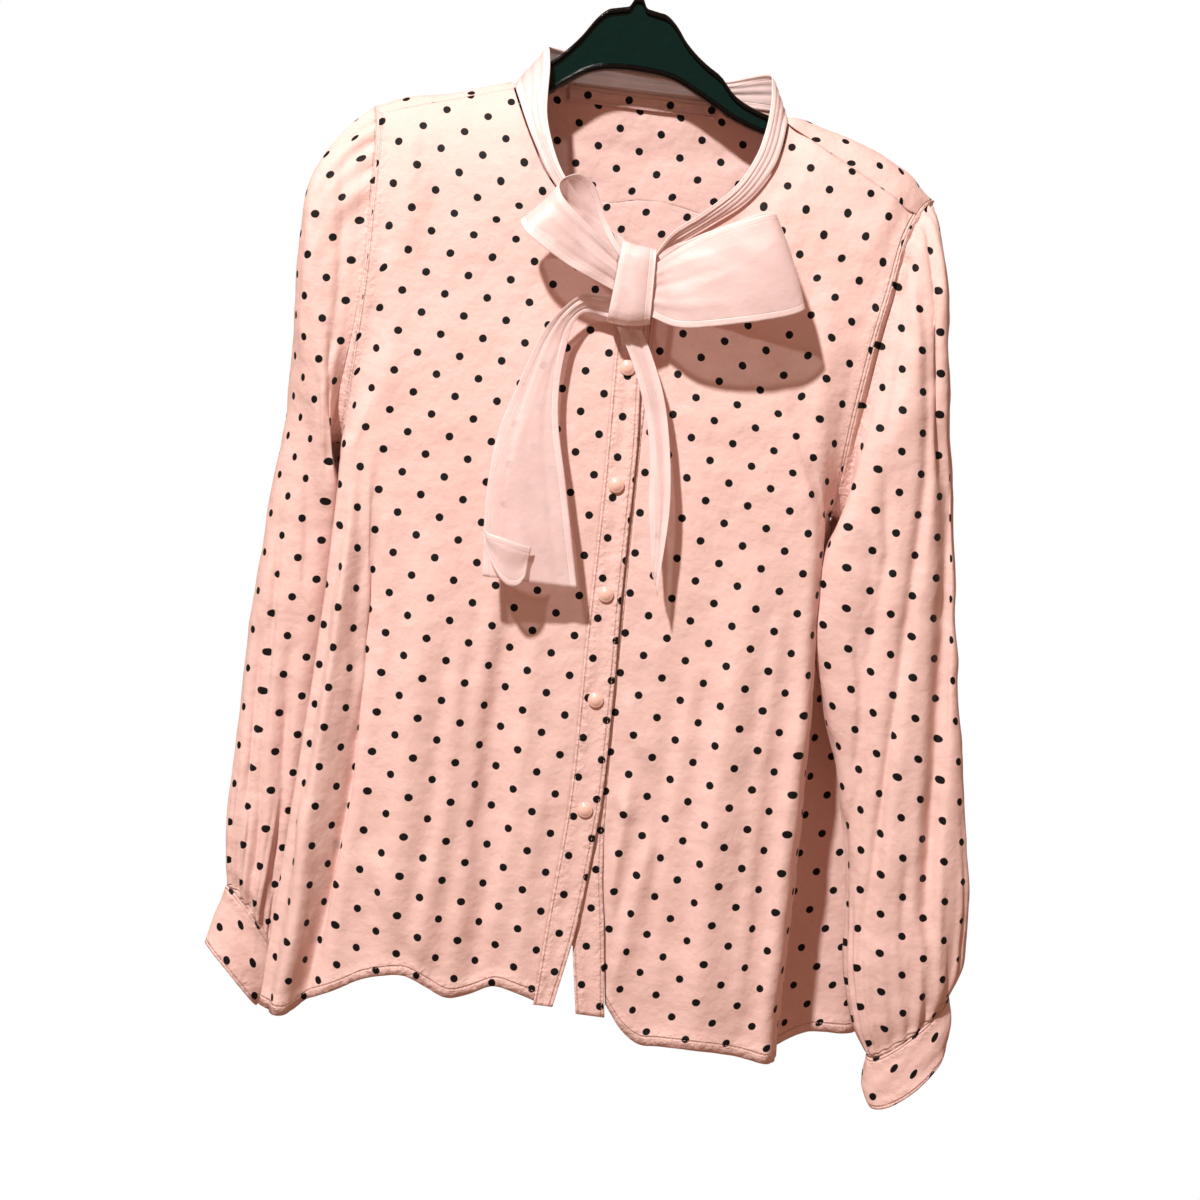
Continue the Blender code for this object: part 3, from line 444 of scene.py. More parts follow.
# Left and right loops of the bow, each a band that goes out at the back and returns in front
loopRight = ((9, -47.6, -169.2, 9, -47.6, -186), (-5, -45, -147, -18, -45, -174),
    (-14, -47, -128, -40, -51, -164), (-26, -55, -121, -56, -60, -159),
    (-37, -65, -129, -61, -70, -158), (-33, -74, -140, -52, -78, -168),
    (-14, -73, -156, -24, -76, -184), (8, -65.6, -173.2, 8, -65.6, -197))
loopLeft = ((31.5, -48, -172, 31.5, -48, -194), (55, -46, -155, 55, -46, -200),
    (82, -52, -141, 90, -56, -197), (102, -62, -132, 126, -68, -192),
    (109, -71, -133, 136, -77, -194), (101, -78, -135, 122, -82, -201),
    (76, -77, -146, 84, -81, -211), (52, -72, -160, 54, -75, -216),
    (31.5, -64.5, -177, 31.5, -64, -210))

# Tails of the bow, hanging from behind the knot
tailRight = ((7, -51, -215.1, 7, -56, -200), (-9, -51, -213, -12, -56, -201),
    (-17, -52, -220, -27, -57, -214), (-20, -52, -235, -39, -56, -234),
    (-22, -54, -262, -50, -60, -268),
    (-19, -59, -292, -59, -65, -300), (-10, -63, -328, -62, -69, -334),
    (-2, -66, -362, -61, -71, -366), (7, -68, -400, -58, -73, -399))
tailLeft = ((12, -52, -220.1, 29, -54, -220.1), (24, -52, -240, 39, -54, -238), (36, -54, -268, 50, -57, -264),
    (45, -57, -302, 58, -61, -298), (49, -60, -340, 63, -65, -338), (56, -64, -380, 62, -68, -398))

# Knot: a wrapped band open towards both loops
knotSizes = Table("x front back low high", (6, -70, -43.5, -217, -163), (18, -71, -43.5, -219, -164),
    (35, -69, -43.5, -216, -166))
knot = []
for x in (6, 11, 18, 25, 31, 35):
    row = {name: knotSizes.at(name, x) for name in knotSizes.columns[1:]}
    line = []
    for angle in range(0, 360, 20):
        c, s = cos(radians(angle)), sin(radians(angle))
        y = (row["front"] + row["back"]) / 2 + (row["front"] - row["back"]) / 2 * c * (abs(c) + 0.01) ** -0.45
        z = (row["low"] + row["high"]) / 2 + (row["high"] - row["low"]) / 2 * s * (abs(s) + 0.01) ** -0.5
        squeeze = 0.8 + 0.2 * ((row["high"] - z) / (row["high"] - row["low"]))
        line.append((mix(20.5, x - (z + 190) * -0.03, squeeze), y, z))
    knot.append(line)


# Buttons: their places down the band
buttons = Table("n x z", (1, 23, -247), (2, 25, -328), (3, 27, -404), (4, 29, -478), (5, 31, -556))


# Hanger body: an arm with raised rims, sections along x; the tilt follows how it hangs in the picture
hanger = Table("x top low", (0, 7, -43), (3, 6, -43), (6, 0.5, -43.2), (12, -1.2, -43.5), (20, -3, -44.5),
    (28, -10, -46.5), (36, -21, -50), (46, -31.5, -56), (57, -40.5, -63), (66, -47, -68.5),
    (75, -57.8, -74), (79, -61.8, -76), (83, -64.2, -78), (92, -67, -81), (112, -74, -88),
    (135, -82.5, -97), (150, -87, -102), (176, -96, -110), (184, -100, -109))
hangerTilt = 0.075
reaches = (3, 6, 10, 15, 20, 25, 30, 36, 44, 53, 63, 75, 92, 112, 135, 158, 176, 184)
sections = []
for x in [-reach for reach in reversed(reaches)] + [0, *reaches]:
    reach = abs(x)
    tip = 0.5 if reach == reaches[-1] else 1.0
    high = hanger.at("top", reach) + hangerTilt * x * ease(0, 60, reach)
    low = hanger.at("low", reach) + hangerTilt * x * ease(0, 60, reach)
    wide, web, rim = 6.5 * tip, 4.2 * tip, min(3.4, (high - low) * 0.22)
    half = [(wide - 1.6, high), (wide, high - 1.4), (wide, high - rim), (web, high - rim - 1),
            (web, low + rim + 1), (wide, low + rim), (wide, low + 1.4), (wide - 1.6, low)]
    sections.append([(x, y, z) for y, z in half] + [(x, -y, z) for y, z in reversed(half)])

print("tables ready")


# Grids: numpy arrays of rows, columns and x, y, z
def sampled(grid, places, around=False):
    if around:
        padded = np.concatenate([grid[-1:], grid, grid[:2]])
    else:
        padded = np.concatenate([2 * grid[:1] - grid[1:2], grid, 2 * grid[-1:] - grid[-2:-1]])
    places = np.asarray(places, float)
    cell = np.floor(places).astype(int)
    if not around:
        cell = np.clip(cell, 0, len(grid) - 2)
    f = (places - cell).reshape(-1, *[1] * (grid.ndim - 1))
    a, b, c, d = (padded[cell + k] for k in range(4))
    return 0.5 * (2 * b + (c - a) * f + (2 * a - 5 * b + 4 * c - d) * f * f + (3 * b - a - 3 * c + d) * f ** 3)


def spread(count, step, around=False):
    total = count if around else count - 1
    cells = max(2, round(total / step))
    return np.linspace(0, total, cells + 1)[:cells if around else cells + 1]


def refined(grid, rowStep, columnStep, around=False):
    grid = np.array(grid, float)
    fine = sampled(grid, spread(len(grid), rowStep))
    across = spread(grid.shape[1], columnStep, around)
    return sampled(fine.transpose(1, 0, 2), across, around).transpose(1, 0, 2)


def lengthsAlong(grid, axis, start=0):
    steps = np.linalg.norm(np.diff(grid, axis=axis), axis=2)
    first = np.zeros_like(np.take(steps, [0], axis))
    total = np.concatenate([first, np.cumsum(steps, axis)], axis)
    return total - np.take(total, [start], axis)


def normalsOf(grid, around=False):
    if around:
        across = np.roll(grid, -1, 1) - np.roll(grid, 1, 1)
    else:
        across = np.gradient(grid, axis=1)
    normals = np.cross(across, np.gradient(grid, axis=0))
    return normals / np.maximum(np.linalg.norm(normals, axis=2, keepdims=True), 1e-9)


# Soft irregular waves over a surface, between -1 and 1
def waves(u, v, size, seed):
    random = np.random.default_rng(seed)
    total = np.zeros_like(u)
    for k in range(7):
        angle = random.uniform(0, pi)
        scale = 2 * pi / (size * random.uniform(0.7, 1.6))
        total += np.sin((u * cos(angle) + v * sin(angle)) * scale + random.uniform(0, 6.28)
                        + 1.3 * np.sin(v * scale * 0.37 + u * scale * 0.21 + k))
    return total / 4.5


# How near each point is to a drawn line: (signed side, distance, place along it)
def nearLine(a, b, line):
    points = np.array(line, float)
    best = np.full(a.shape, 1e9)
    side = np.zeros_like(a)
    along = np.zeros_like(a)
    walked = 0.0
    total = np.linalg.norm(np.diff(points, axis=0), axis=1).sum()
    for p, q in zip(points, points[1:]):
        step = q - p
        size = np.hypot(*step)
        t = np.clip(((a - p[0]) * step[0] + (b - p[1]) * step[1]) / size ** 2, 0, 1)
        dx, dz = a - p[0] - t * step[0], b - p[1] - t * step[1]
        near = np.hypot(dx, dz)
        closer = near < best
        best = np.where(closer, near, best)
        side = np.where(closer, np.sign(dx * step[1] - dz * step[0]), side)
        along = np.where(closer, (walked + t * size) / total, along)
        walked += size
    return side, best, along


# Creases: (points x z, half width, height out, sharpness of the far side), drawn on a panel as seen from the front
def creased(grid, creases, visible=None):
    x, z = grid[..., 0], grid[..., 2]
    lift = np.zeros_like(x)
    for line, width, height, lean in creases:
        side, near, along = nearLine(x, z, line)
        reach = np.where(side > 0, width * lean, width)
        fade = np.clip(np.sin(pi * np.clip(along, 0.02, 0.98)) * 1.8, 0, 1)
        lift += height * np.exp(-(near / reach) ** 2) * fade
    return lift if visible is None else lift * visible


def smoothStep(value, low, high):
    f = np.clip((value - low) / (high - low), 0, 1)
    return f * f * (3 - 2 * f)


# Every cloth piece and its finished grid, by name, and the walls in millimetres
pieces, grids = {}, {}
walls = dict(panel=0.8, band=1.3, cuff=1.5, tape=1.0, collar=0.7, veil=0.35, knot=0.9)


def linked(name, data):
    thing = bpy.data.objects.new(name, data)
    bpy.context.scene.collection.objects.link(thing)
    return thing


def mounted(piece, node=""):
    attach(piece, "root")
    if node:
        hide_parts(node)


# A cloth piece: points, cloth coordinates u v and the distance to a sewn edge, all in millimetres
def clothPiece(name, node, grid, look, wall, u, v, hem, around=False):
    scaled = grid / 1000
    scaled[..., 2] -= hookTop / 1000
    index = np.arange(grid[..., 0].size).reshape(grid.shape[:2])
    nextColumn = np.roll(index, -1, 1) if around else index[:, 1:]
    here = index if around else index[:, :-1]
    quads = np.stack([here[:-1], nextColumn[:-1], nextColumn[1:], here[1:]], axis=-1).reshape(-1, 4)
    mesh = bpy.data.meshes.new(name)
    mesh.from_pydata(scaled.reshape(-1, 3).tolist(), [], quads.tolist())
    layer = mesh.uv_layers.new(name="cloth")
    corners = np.stack([u, v], axis=-1).reshape(-1, 2)[quads.reshape(-1)].reshape(-1, 4, 2)
    if around:
        wide = np.ptp(corners[:, :, 0], axis=1) > 50
        corners[wide, :, 0] = corners[wide, :, 0].max(axis=1, keepdims=True)
    layer.data.foreach_set("uv", (corners / 1000).reshape(-1).astype(np.float32))
    edge = mesh.attributes.new("hem", "FLOAT", "POINT")
    edge.data.foreach_set("value", (hem / 1000).reshape(-1).astype(np.float32))
    mesh.shade_smooth()
    mesh.materials.append(look)
    piece = linked(name, mesh)
    solid = piece.modifiers.new("wall", "SOLIDIFY")
    solid.thickness = wall / 1000
    solid.offset = 0.0
    solid.use_rim = True
    solid.use_even_offset = False
    mounted(piece, node)
    pieces[name], grids[name] = piece, grid
    print(name, "across", round(float(lengthsAlong(grid, 1)[:, -1].max())),
          "down", round(float(lengthsAlong(grid, 0)[-1].max())))


def closedMesh(name, bm, material):
    bmesh.ops.recalc_face_normals(bm, faces=bm.faces)
    mesh = bpy.data.meshes.new(name)
    bm.to_mesh(mesh)
    bm.free()
    mesh.shade_smooth()
    mesh.materials.append(material)
    return mesh


# Shader maths written as ordinary expressions
class Socket:
    def __init__(self, tree, output):
        self.tree, self.output = tree, output

    def math(self, operation, *others):
        node = self.tree.nodes.new("ShaderNodeMath")
        node.operation = operation
        self.tree.links.new(self.output, node.inputs[0])
        for slot, other in zip(node.inputs[1:], others):
            if isinstance(other, Socket):
                self.tree.links.new(other.output, slot)
            else:
                slot.default_value = other
        return Socket(self.tree, node.outputs[0])

    def __add__(self, other):
        return self.math("ADD", other)

    def __sub__(self, other):
        return self.math("SUBTRACT", other)

    def __mul__(self, other):
        return self.math("MULTIPLY", other)

    def __truediv__(self, other):
        return self.math("DIVIDE", other)

    def smaller(self, other):
        return self.math("MINIMUM", other)

    def larger(self, other):
        return self.math("MAXIMUM", other)

    def step(self, low, high):
        node = self.tree.nodes.new("ShaderNodeMapRange")
        node.interpolation_type = "SMOOTHSTEP"
        node.inputs["From Min"].default_value = low
        node.inputs["From Max"].default_value = high
        self.tree.links.new(self.output, node.inputs["Value"])
        return Socket(self.tree, node.outputs["Result"])

    def blend(self, first, second):
        node = self.tree.nodes.new("ShaderNodeMix")
        node.data_type = "RGBA"
        self.tree.links.new(self.output, node.inputs["Factor"])
        for slot, value in ((node.inputs[6], first), (node.inputs[7], second)):
            if isinstance(value, Socket):
                self.tree.links.new(value.output, slot)
            else:
                slot.default_value = (*value, 1)
        return Socket(self.tree, node.outputs[2])


class Look:
    def __init__(self, name):
        self.material = bpy.data.materials.new(name)
        self.material.use_nodes = True
        self.tree = self.material.node_tree
        self.shader = self.tree.nodes["Principled BSDF"]
        self.end = self.tree.nodes["Material Output"]

    def set(self, **values):
        for key, value in values.items():
            socket = self.shader.inputs[key.replace("_", " ")]
            if isinstance(value, Socket):
                self.tree.links.new(value.output, socket)
            else:
                socket.default_value = value
        return self

    def node(self, kind, output, links=(), **values):
        node = self.tree.nodes.new(kind)
        for key, value in values.items():
            if key in node.inputs:
                node.inputs[key].default_value = value
            else:
                setattr(node, key, value)
        for slot, value in links:
            self.tree.links.new(value.output, node.inputs[slot])
        return Socket(self.tree, node.outputs[output])

    def cloth(self):
        vector = self.node("ShaderNodeUVMap", "UV", uv_map="cloth")
        split = self.tree.nodes.new("ShaderNodeSeparateXYZ")
        self.tree.links.new(vector.output, split.inputs[0])
        return Socket(self.tree, split.outputs["X"]) * 1000.0, Socket(self.tree, split.outputs["Y"]) * 1000.0

    def place(self):
        return self.node("ShaderNodeTexCoord", "Object")

    def noise(self, size, detail=2.0, roughness=0.5, vector=None):
        links = [("Vector", vector or self.place())]
        return self.node("ShaderNodeTexNoise", "Fac", links, Scale=1000.0 / size, Detail=detail, Roughness=roughness)

    def bump(self, height, distance, strength=1.0, under=None):
        links = [("Height", height)] + ([("Normal", under)] if under else [])
        return self.node("ShaderNodeBump", "Normal", links, Distance=distance / 1000, Strength=strength)

    def hem(self):
        return self.node("ShaderNodeAttribute", "Fac", attribute_name="hem") * 1000.0


# Looks: dotted crepe, sheer organza, pearl, moulded plastic, wire and thread
crepe = dict(pitch=(29.3, 28.1), dot=2.75, pink=(0.82, 0.58, 0.54), deep=(0.74, 0.49, 0.44),
             ink=(0.004, 0.004, 0.004))
sheer = dict(tint=(0.90, 0.73, 0.71), deep=(0.80, 0.60, 0.57), thin=0.5, doubled=0.62, edge=0.22, hem=4.5)
pearl = dict(tint=(0.90, 0.62, 0.53), shade=(0.74, 0.43, 0.35))
plastic = dict(panel=(0.0003, 0.012, 0.0098), rim=(0.002, 0.002, 0.002), rimStart=4.55)
wireTint = dict(bright=(0.62, 0.61, 0.6), dull=(0.36, 0.36, 0.36))
threadTint = dict(main=(0.66, 0.37, 0.29), light=(0.80, 0.50, 0.41))
stitching = dict(hem=6.5, band=2.2, length=0.0031, size=(0.00019, 0.00016, 0.0011))


def crepeLook(name, groove):
    look = Look(name)
    u, v = look.cloth()

    def gap(value, pitch, shift):
        return ((value / pitch + shift).math("FRACT") - 0.5) * pitch

    def toDot(shift):
        across, down = gap(u, crepe["pitch"][0], shift), gap(v, crepe["pitch"][1], shift)
        return (across * across + down * down).math("SQRT")

    wobble = look.noise(3.0, 3.0) * 0.5
    near = toDot(0.5).smaller(toDot(0.0)) + wobble - 0.25
    ink = near.step(crepe["dot"] + 0.18, crepe["dot"] - 0.18)
    tone = look.noise(38.0, 4.0, 0.6)
    grain = look.noise(0.55, 2.0, 0.7)
    cloth = (tone * 0.75 + grain * 0.25).blend(crepe["pink"], crepe["deep"])
    hem = look.hem()
    stitch = (hem - groove).math("ABSOLUTE").step(1.1, 0.0)
    nearEdge = hem.step(groove + 9, groove)
    pucker = look.noise(4.2, 2.0) * nearEdge
    crumple = look.noise(17.0, 3.0, 0.55)
    soft = look.noise(46.0, 2.0, 0.5)
    under = look.bump(soft, 3.0, 0.8)
    under = look.bump(crumple + pucker * 0.9 - stitch * 0.35, 1.8, 1.0, under)
    look.set(Base_Color=ink.blend(cloth, crepe["ink"]), Roughness=(grain * 0.2 + 0.46),
             Normal=look.bump(grain, 0.26, 1.0, under), Sheen_Weight=0.04, Sheen_Roughness=0.4,
             Sheen_Tint=(1.0, 0.86, 0.8, 1), Specular_IOR_Level=0.16, Subsurface_Weight=0.1,
             Subsurface_Radius=(1.0, 0.42, 0.28), Subsurface_Scale=0.003)
    return look.material


def organzaLook(name, thin):
    look = Look(name)
    u, v = look.cloth()
    hem = look.hem()
    tone = look.noise(22.0, 4.0, 0.6)
    weave = ((u * 9.0).math("SINE") + (v * 9.0).math("SINE")) * 0.25 + 0.5
    band = hem.step(sheer["hem"] + 0.4, sheer["hem"] - 0.4)
    stitch = (hem - sheer["hem"]).math("ABSOLUTE").step(0.55, 0.0)
    crease = look.noise(30.0, 5.0, 0.62)
    alpha = band * sheer["edge"] + tone * 0.16 + weave * 0.05 + thin + stitch * 0.15
    look.set(Base_Color=tone.blend(sheer["tint"], sheer["deep"]), Roughness=(tone * 0.2 + 0.34),
             Alpha=alpha.smaller(1.0),
             Normal=look.bump(crease + stitch * -0.12, 1.6, 0.8, look.bump(weave, 0.05, 0.5)),
             Sheen_Weight=0.35, Sheen_Roughness=0.3, Sheen_Tint=(1, 0.93, 0.9, 1), Specular_IOR_Level=0.5)
    return look.material


def pearlLook():
    look = Look("buttonPearl")
    cloudy = look.noise(5.0, 3.0, 0.6)
    look.set(Base_Color=cloudy.blend(pearl["tint"], pearl["shade"]), Roughness=(cloudy * 0.12 + 0.16),
             Coat_Weight=0.9, Coat_Roughness=0.08, Sheen_Weight=0.2, Normal=look.bump(look.noise(0.8), 0.02, 0.5),
             Subsurface_Weight=0.2, Subsurface_Radius=(1.0, 0.5, 0.4), Subsurface_Scale=0.002)
    return look.material


def plasticLook():
    look = Look("hangerPlastic")
    split = look.tree.nodes.new("ShaderNodeSeparateXYZ")
    look.tree.links.new(look.place().output, split.inputs[0])
    across = (Socket(look.tree, split.outputs["Y"]) * 1000.0).math("ABSOLUTE")
    toRim = across.step(plastic["rimStart"], plastic["rimStart"] + 0.5)
    crinkle = look.noise(15.0, 4.0, 0.6)
    scuff = look.noise(1.2, 3.0, 0.7)
    look.set(Base_Color=toRim.blend(plastic["panel"], plastic["rim"]), Roughness=(scuff * 0.12 + 0.10),
             Normal=look.bump(crinkle, 2.6, 0.5, look.bump(scuff, 0.02, 0.3)),
             Coat_Weight=0.08, Coat_Roughness=0.08, Specular_IOR_Level=0.2)
    return look.material


def wireLook():
    look = Look("hookWire")
    brushed = look.noise(0.7, 3.0, 0.7)
    look.set(Base_Color=brushed.blend(wireTint["bright"], wireTint["dull"]), Metallic=1.0,
             Roughness=(brushed * 0.25 + 0.2), Normal=look.bump(brushed, 0.02, 0.6))
    return look.material


def threadLook():
    look = Look("sewingThread")
    twist = look.noise(0.35, 2.0, 0.7)
    look.set(Base_Color=twist.blend(threadTint["main"], threadTint["light"]), Roughness=(twist * 0.2 + 0.5),
             Normal=look.bump(twist, 0.04, 0.8), Sheen_Weight=0.3)
    return look.material


panelLook = crepeLook("dottedCrepe", stitching["hem"])
bandLook = crepeLook("dottedCrepeBand", stitching["band"])
veilLook = organzaLook("sheerOrganza", sheer["thin"])
knotLook = organzaLook("sheerOrganzaDoubled", sheer["doubled"])
pearlMaterial, plasticMaterial, wireMaterial, threadMaterial = pearlLook(), plasticLook(), wireLook(), threadLook()
print("looks ready")


# Fronts: u and v follow the cloth itself, so that the dots bend with it
def panelCoordinates(grid, uStart, vStart, out, startRow):
    u = uStart + grid[:, :1, 0] + out * lengthsAlong(grid, 1)
    v = vStart + grid[startRow, :, 2][None, :] + lengthsAlong(grid, 0, startRow)
    level = smoothStep(grid[..., 2], -190, -110) * 0.85
    return mix(u, uStart + grid[..., 0], level), mix(v, vStart + grid[..., 2], level)


# 1 or -1, so that a panel's normals face the wanted way, or a ring's normals point out
def facing(grid, wanted=-1):
    return wanted * np.sign(normalsOf(grid)[..., 1].mean())


def outwardOf(grid):
    away = grid - grid.mean(axis=1, keepdims=True)
    return 1.0 if (away * normalsOf(grid, True)).sum() > 0 else -1.0


# Distance to the nearer of two opposite edges, from the lengths along an axis
def toEdges(lengths, axis=0):
    return np.minimum(lengths, np.take(lengths, [-1], axis) - lengths)


# The grid raised along its normals, with a lift that fades near sewn seams
def lifted(grid, lift, outward, around=False, seams=(), fade=9.0):
    normals = normalsOf(grid, around) * outward
    lengths = {"bottom": lengthsAlong(grid, 0), "first": lengthsAlong(grid, 1)}
    lengths["top"] = lengths["bottom"][-1:] - lengths["bottom"]
    lengths["last"] = lengths["first"][:, -1:] - lengths["first"]
    for edge in seams:
        lift = lift * smoothStep(lengths[edge], 0, fade)
    return grid + normals * lift[..., None]


frontCreases = dict(
    right=(
        (((-150, -98), (-140, -140), (-138, -190)), 9, 1.4, 1.0),
        (((-150, -180), (-142, -230), (-140, -300)), 10, 1.2, 0.6),
        (((-80, -75), (-60, -130), (-40, -200)), 14, 1.2, 0.8),
        (((-148, -320), (-140, -420), (-136, -520)), 6, 2.5, 0.5),
        (((-131, -450), (-128, -560), (-140, -690)), 7, 3.1, 0.45),
        (((-100, -420), (-96, -520), (-98, -680)), 12, 2.2, 0.7),
        (((-72, -430), (-66, -560), (-74, -690)), 10, 2.5, 0.6),
        (((-48, -380), (-52, -500), (-46, -690)), 9, 2.5, 0.7),
        (((-20, -420), (-18, -560), (-24, -690)), 9, 1.9, 0.6),
        (((0, -520), (-4, -620), (-2, -690)), 7, 1.4, 0.8),
        (((-120, -600), (-90, -650), (-60, -680)), 10, 1.4, 0.7),
        (((-165, -560), (-160, -640), (-164, -710)), 6, 2.2, 0.6),
    ),
    left=(
        (((120, -66), (150, -90), (178, -118)), 11, 1.1, 0.8),
        (((150, -160), (158, -230), (160, -310)), 12, 1.6, 0.8),
        (((60, -520), (56, -600), (52, -690)), 6, 2.8, 0.5),
        (((80, -560), (70, -640), (62, -695)), 7, 2.3, 0.6),
        (((96, -420), (92, -560), (98, -710)), 11, 2.3, 0.6),
        (((122, -400), (120, -560), (126, -712)), 10, 2.2, 0.7),
        (((148, -380), (150, -560), (156, -714)), 9, 2.2, 0.6),
        (((172, -440), (172, -560), (176, -716)), 6, 1.9, 0.7),
        (((48, -470), (60, -500), (74, -520)), 6, 1.9, 0.8),
        (((46, -540), (58, -552), (70, -556)), 4, 1.6, 0.8),
    ))


def front(name, node, coarse, side, seed):
    grid = refined(coarse, 0.165, 0.165)
    u, v = panelCoordinates(grid, *side["origin"], side["out"], grid.shape[0] // 2)
    hemLengths, across = lengthsAlong(grid, 0), lengthsAlong(grid, 1)
    lift = 1.6 * creased(grid, frontCreases[side["name"]])
    lift += 0.6 * waves(u, v, 55, seed) + 0.22 * waves(u, v, 21, seed + 1)
    lift += 0.5 * np.exp(-(hemLengths / 9) ** 2) * waves(u, v, 7, seed + 2) + 0.25 * smoothStep(hemLengths, 8, 6)
    shaped = lifted(grid, lift, facing(grid), seams=("top", "first", "last"))
    toSeams = np.minimum(hemLengths, across[:, -1:] - across + 4.5)
    clothPiece(name, node, shaped, panelLook, walls["panel"], u, v, toSeams)


front("frontRight", "front_right", frontRight, rightSide, 11)
front("frontLeft", "front_left", frontLeft, leftSide, 23)

# Back: one width from the hem over both shoulders
backCreases = (
    (((-150, -110), (-120, -200), (-110, -300)), 12, 1.0, 0.8),
    (((200, -130), (160, -210), (150, -300)), 12, 1.0, 0.8),
    (((-60, -300), (-64, -480), (-58, -660)), 12, 1.6, 0.7),
    (((0, -320), (6, -500), (2, -665)), 13, 1.6, 0.7),
    (((70, -300), (66, -500), (74, -670)), 12, 1.6, 0.6),
    (((140, -320), (150, -500), (146, -680)), 12, 1.6, 0.7),
    (((-120, -330), (-130, -500), (-124, -680)), 11, 1.4, 0.7),
    (((-120, -85), (20, -96), (170, -90)), 9, 0.6, 0.8),
)
grid = refined(backPanel, 0.17, 0.17)
rowOfArmhole = int(grid.shape[0] * 0.55)
across = lengthsAlong(grid, 1)
u = across - across[:, -1:] / 2 + 18
v = 94 + grid[rowOfArmhole, :, 2][None, :] + lengthsAlong(grid, 0, rowOfArmhole)
backward = np.sign(normalsOf(grid)[: grid.shape[0] // 2, :, 1].mean())
lift = creased(grid, backCreases, grid[..., 1] > 8)
lift += 0.6 * waves(u, v, 60, 5) + 0.2 * waves(u, v, 22, 6)
hemLengths = lengthsAlong(grid, 0)
lift += 0.5 * np.exp(-(hemLengths / 9) ** 2) * waves(u, v, 7, 7)
shaped = lifted(grid, lift, backward, seams=("top", "first", "last"), fade=14)
clothPiece("backPanel", "back_panel", shaped, panelLook, walls["panel"], u, v, hemLengths)

# Sleeves: gathered into the cap and the cuff
capPleats = dict(right=((8, 3.0), (19, 2.6), (31, 3.2), (44, 2.4), (57, 2.2), (-6, 2.4), (-18, 2.0), (-32, 2.0)),
                 left=((12, 2.8), (22, 3.4), (33, 2.6), (45, 3.0), (58, 2.2), (0, 2.2), (-14, 2.2), (-28, 2.0)))


sleeveCreases = dict(
    right=(
        (((-208, -130), (-206, -200), (-204, -262)), 6, 1.5), (((-190, -120), (-183, -200), (-181, -250)), 5, -2.2),
        (((-184, -240), (-180, -300), (-177, -350)), 4, -3.0), (((-176, -250), (-184, -290), (-178, -340)), 4, 1.8),
        (((-196, -300), (-188, -380), (-184, -440)), 6, -1.6), (((-208, -380), (-205, -520), (-199, -650)), 4, -3.6),
        (((-190, -500), (-186, -580), (-184, -670)), 4, -2.8), (((-214, -420), (-214, -560), (-208, -640)), 5, 1.6)),
    left=(
        (((214, -118), (222, -150), (234, -230), (248, -300)), 4, -5.0),
        (((228, -120), (244, -200), (258, -320), (272, -460), (286, -560)), 6, -2.6),
        (((206, -140), (208, -200), (205, -280)), 6, -1.8), (((196, -300), (204, -330), (214, -365)), 5, 1.8),
        (((206, -290), (216, -350), (214, -430)), 5, -2.6), (((200, -400), (214, -460), (216, -520)), 6, -2.2),
        (((222, -500), (214, -560), (222, -620)), 6, -2.0), (((258, -560), (262, -620), (272, -680)), 5, -2.4),
        (((236, -420), (240, -500), (250, -600)), 8, 2.0), (((268, -600), (284, -640), (296, -670)), 5, 1.8)))


# Cloth coordinates of a hanging tube: across from its outer line, and down
def tubeMap(grid, out):
    x, y, z = grid[..., 0] * out, grid[..., 1], grid[..., 2]
    heights = np.arange(z.min(), z.max(), 8)
    boxes = np.array([[x[near].max(), x[near].min(), y[near].max(), y[near].min()]
                      for near in (abs(z - height) < 9 for height in heights)])
    padded = np.concatenate([boxes[:1]] * 3 + [boxes] + [boxes[-1:]] * 3)
    smooth = sum(padded[k:k + len(boxes)] for k in range(7)) / 7
    far, close, rear, fore = (np.interp(z, heights, column) for column in smooth.T)
    half, deep = np.maximum((far - close) / 2, 4), np.maximum((rear - fore) / 2, 4)
    turn = np.arctan2((y - (rear + fore) / 2) / deep, (x - (far + close) / 2) / half)
    return out * ((half + deep) / 2 * turn - (half - deep) / 4 * np.sin(2 * turn)), z


# Angles round a sleeve or cuff, rows down a sleeve, and where the gathers into the cuff begin
ringStart, gatherStart, gathers = 190, 0.86, 22
sleeveRows = np.concatenate([np.linspace(0, 0.1, 16)[:-1], np.linspace(0.1, gatherStart, 92)[:-1],
                             np.linspace(gatherStart, 1, 26)])


def ringAngles(count):
    return np.linspace(ringStart, ringStart + 360, count + 1)[:-1]


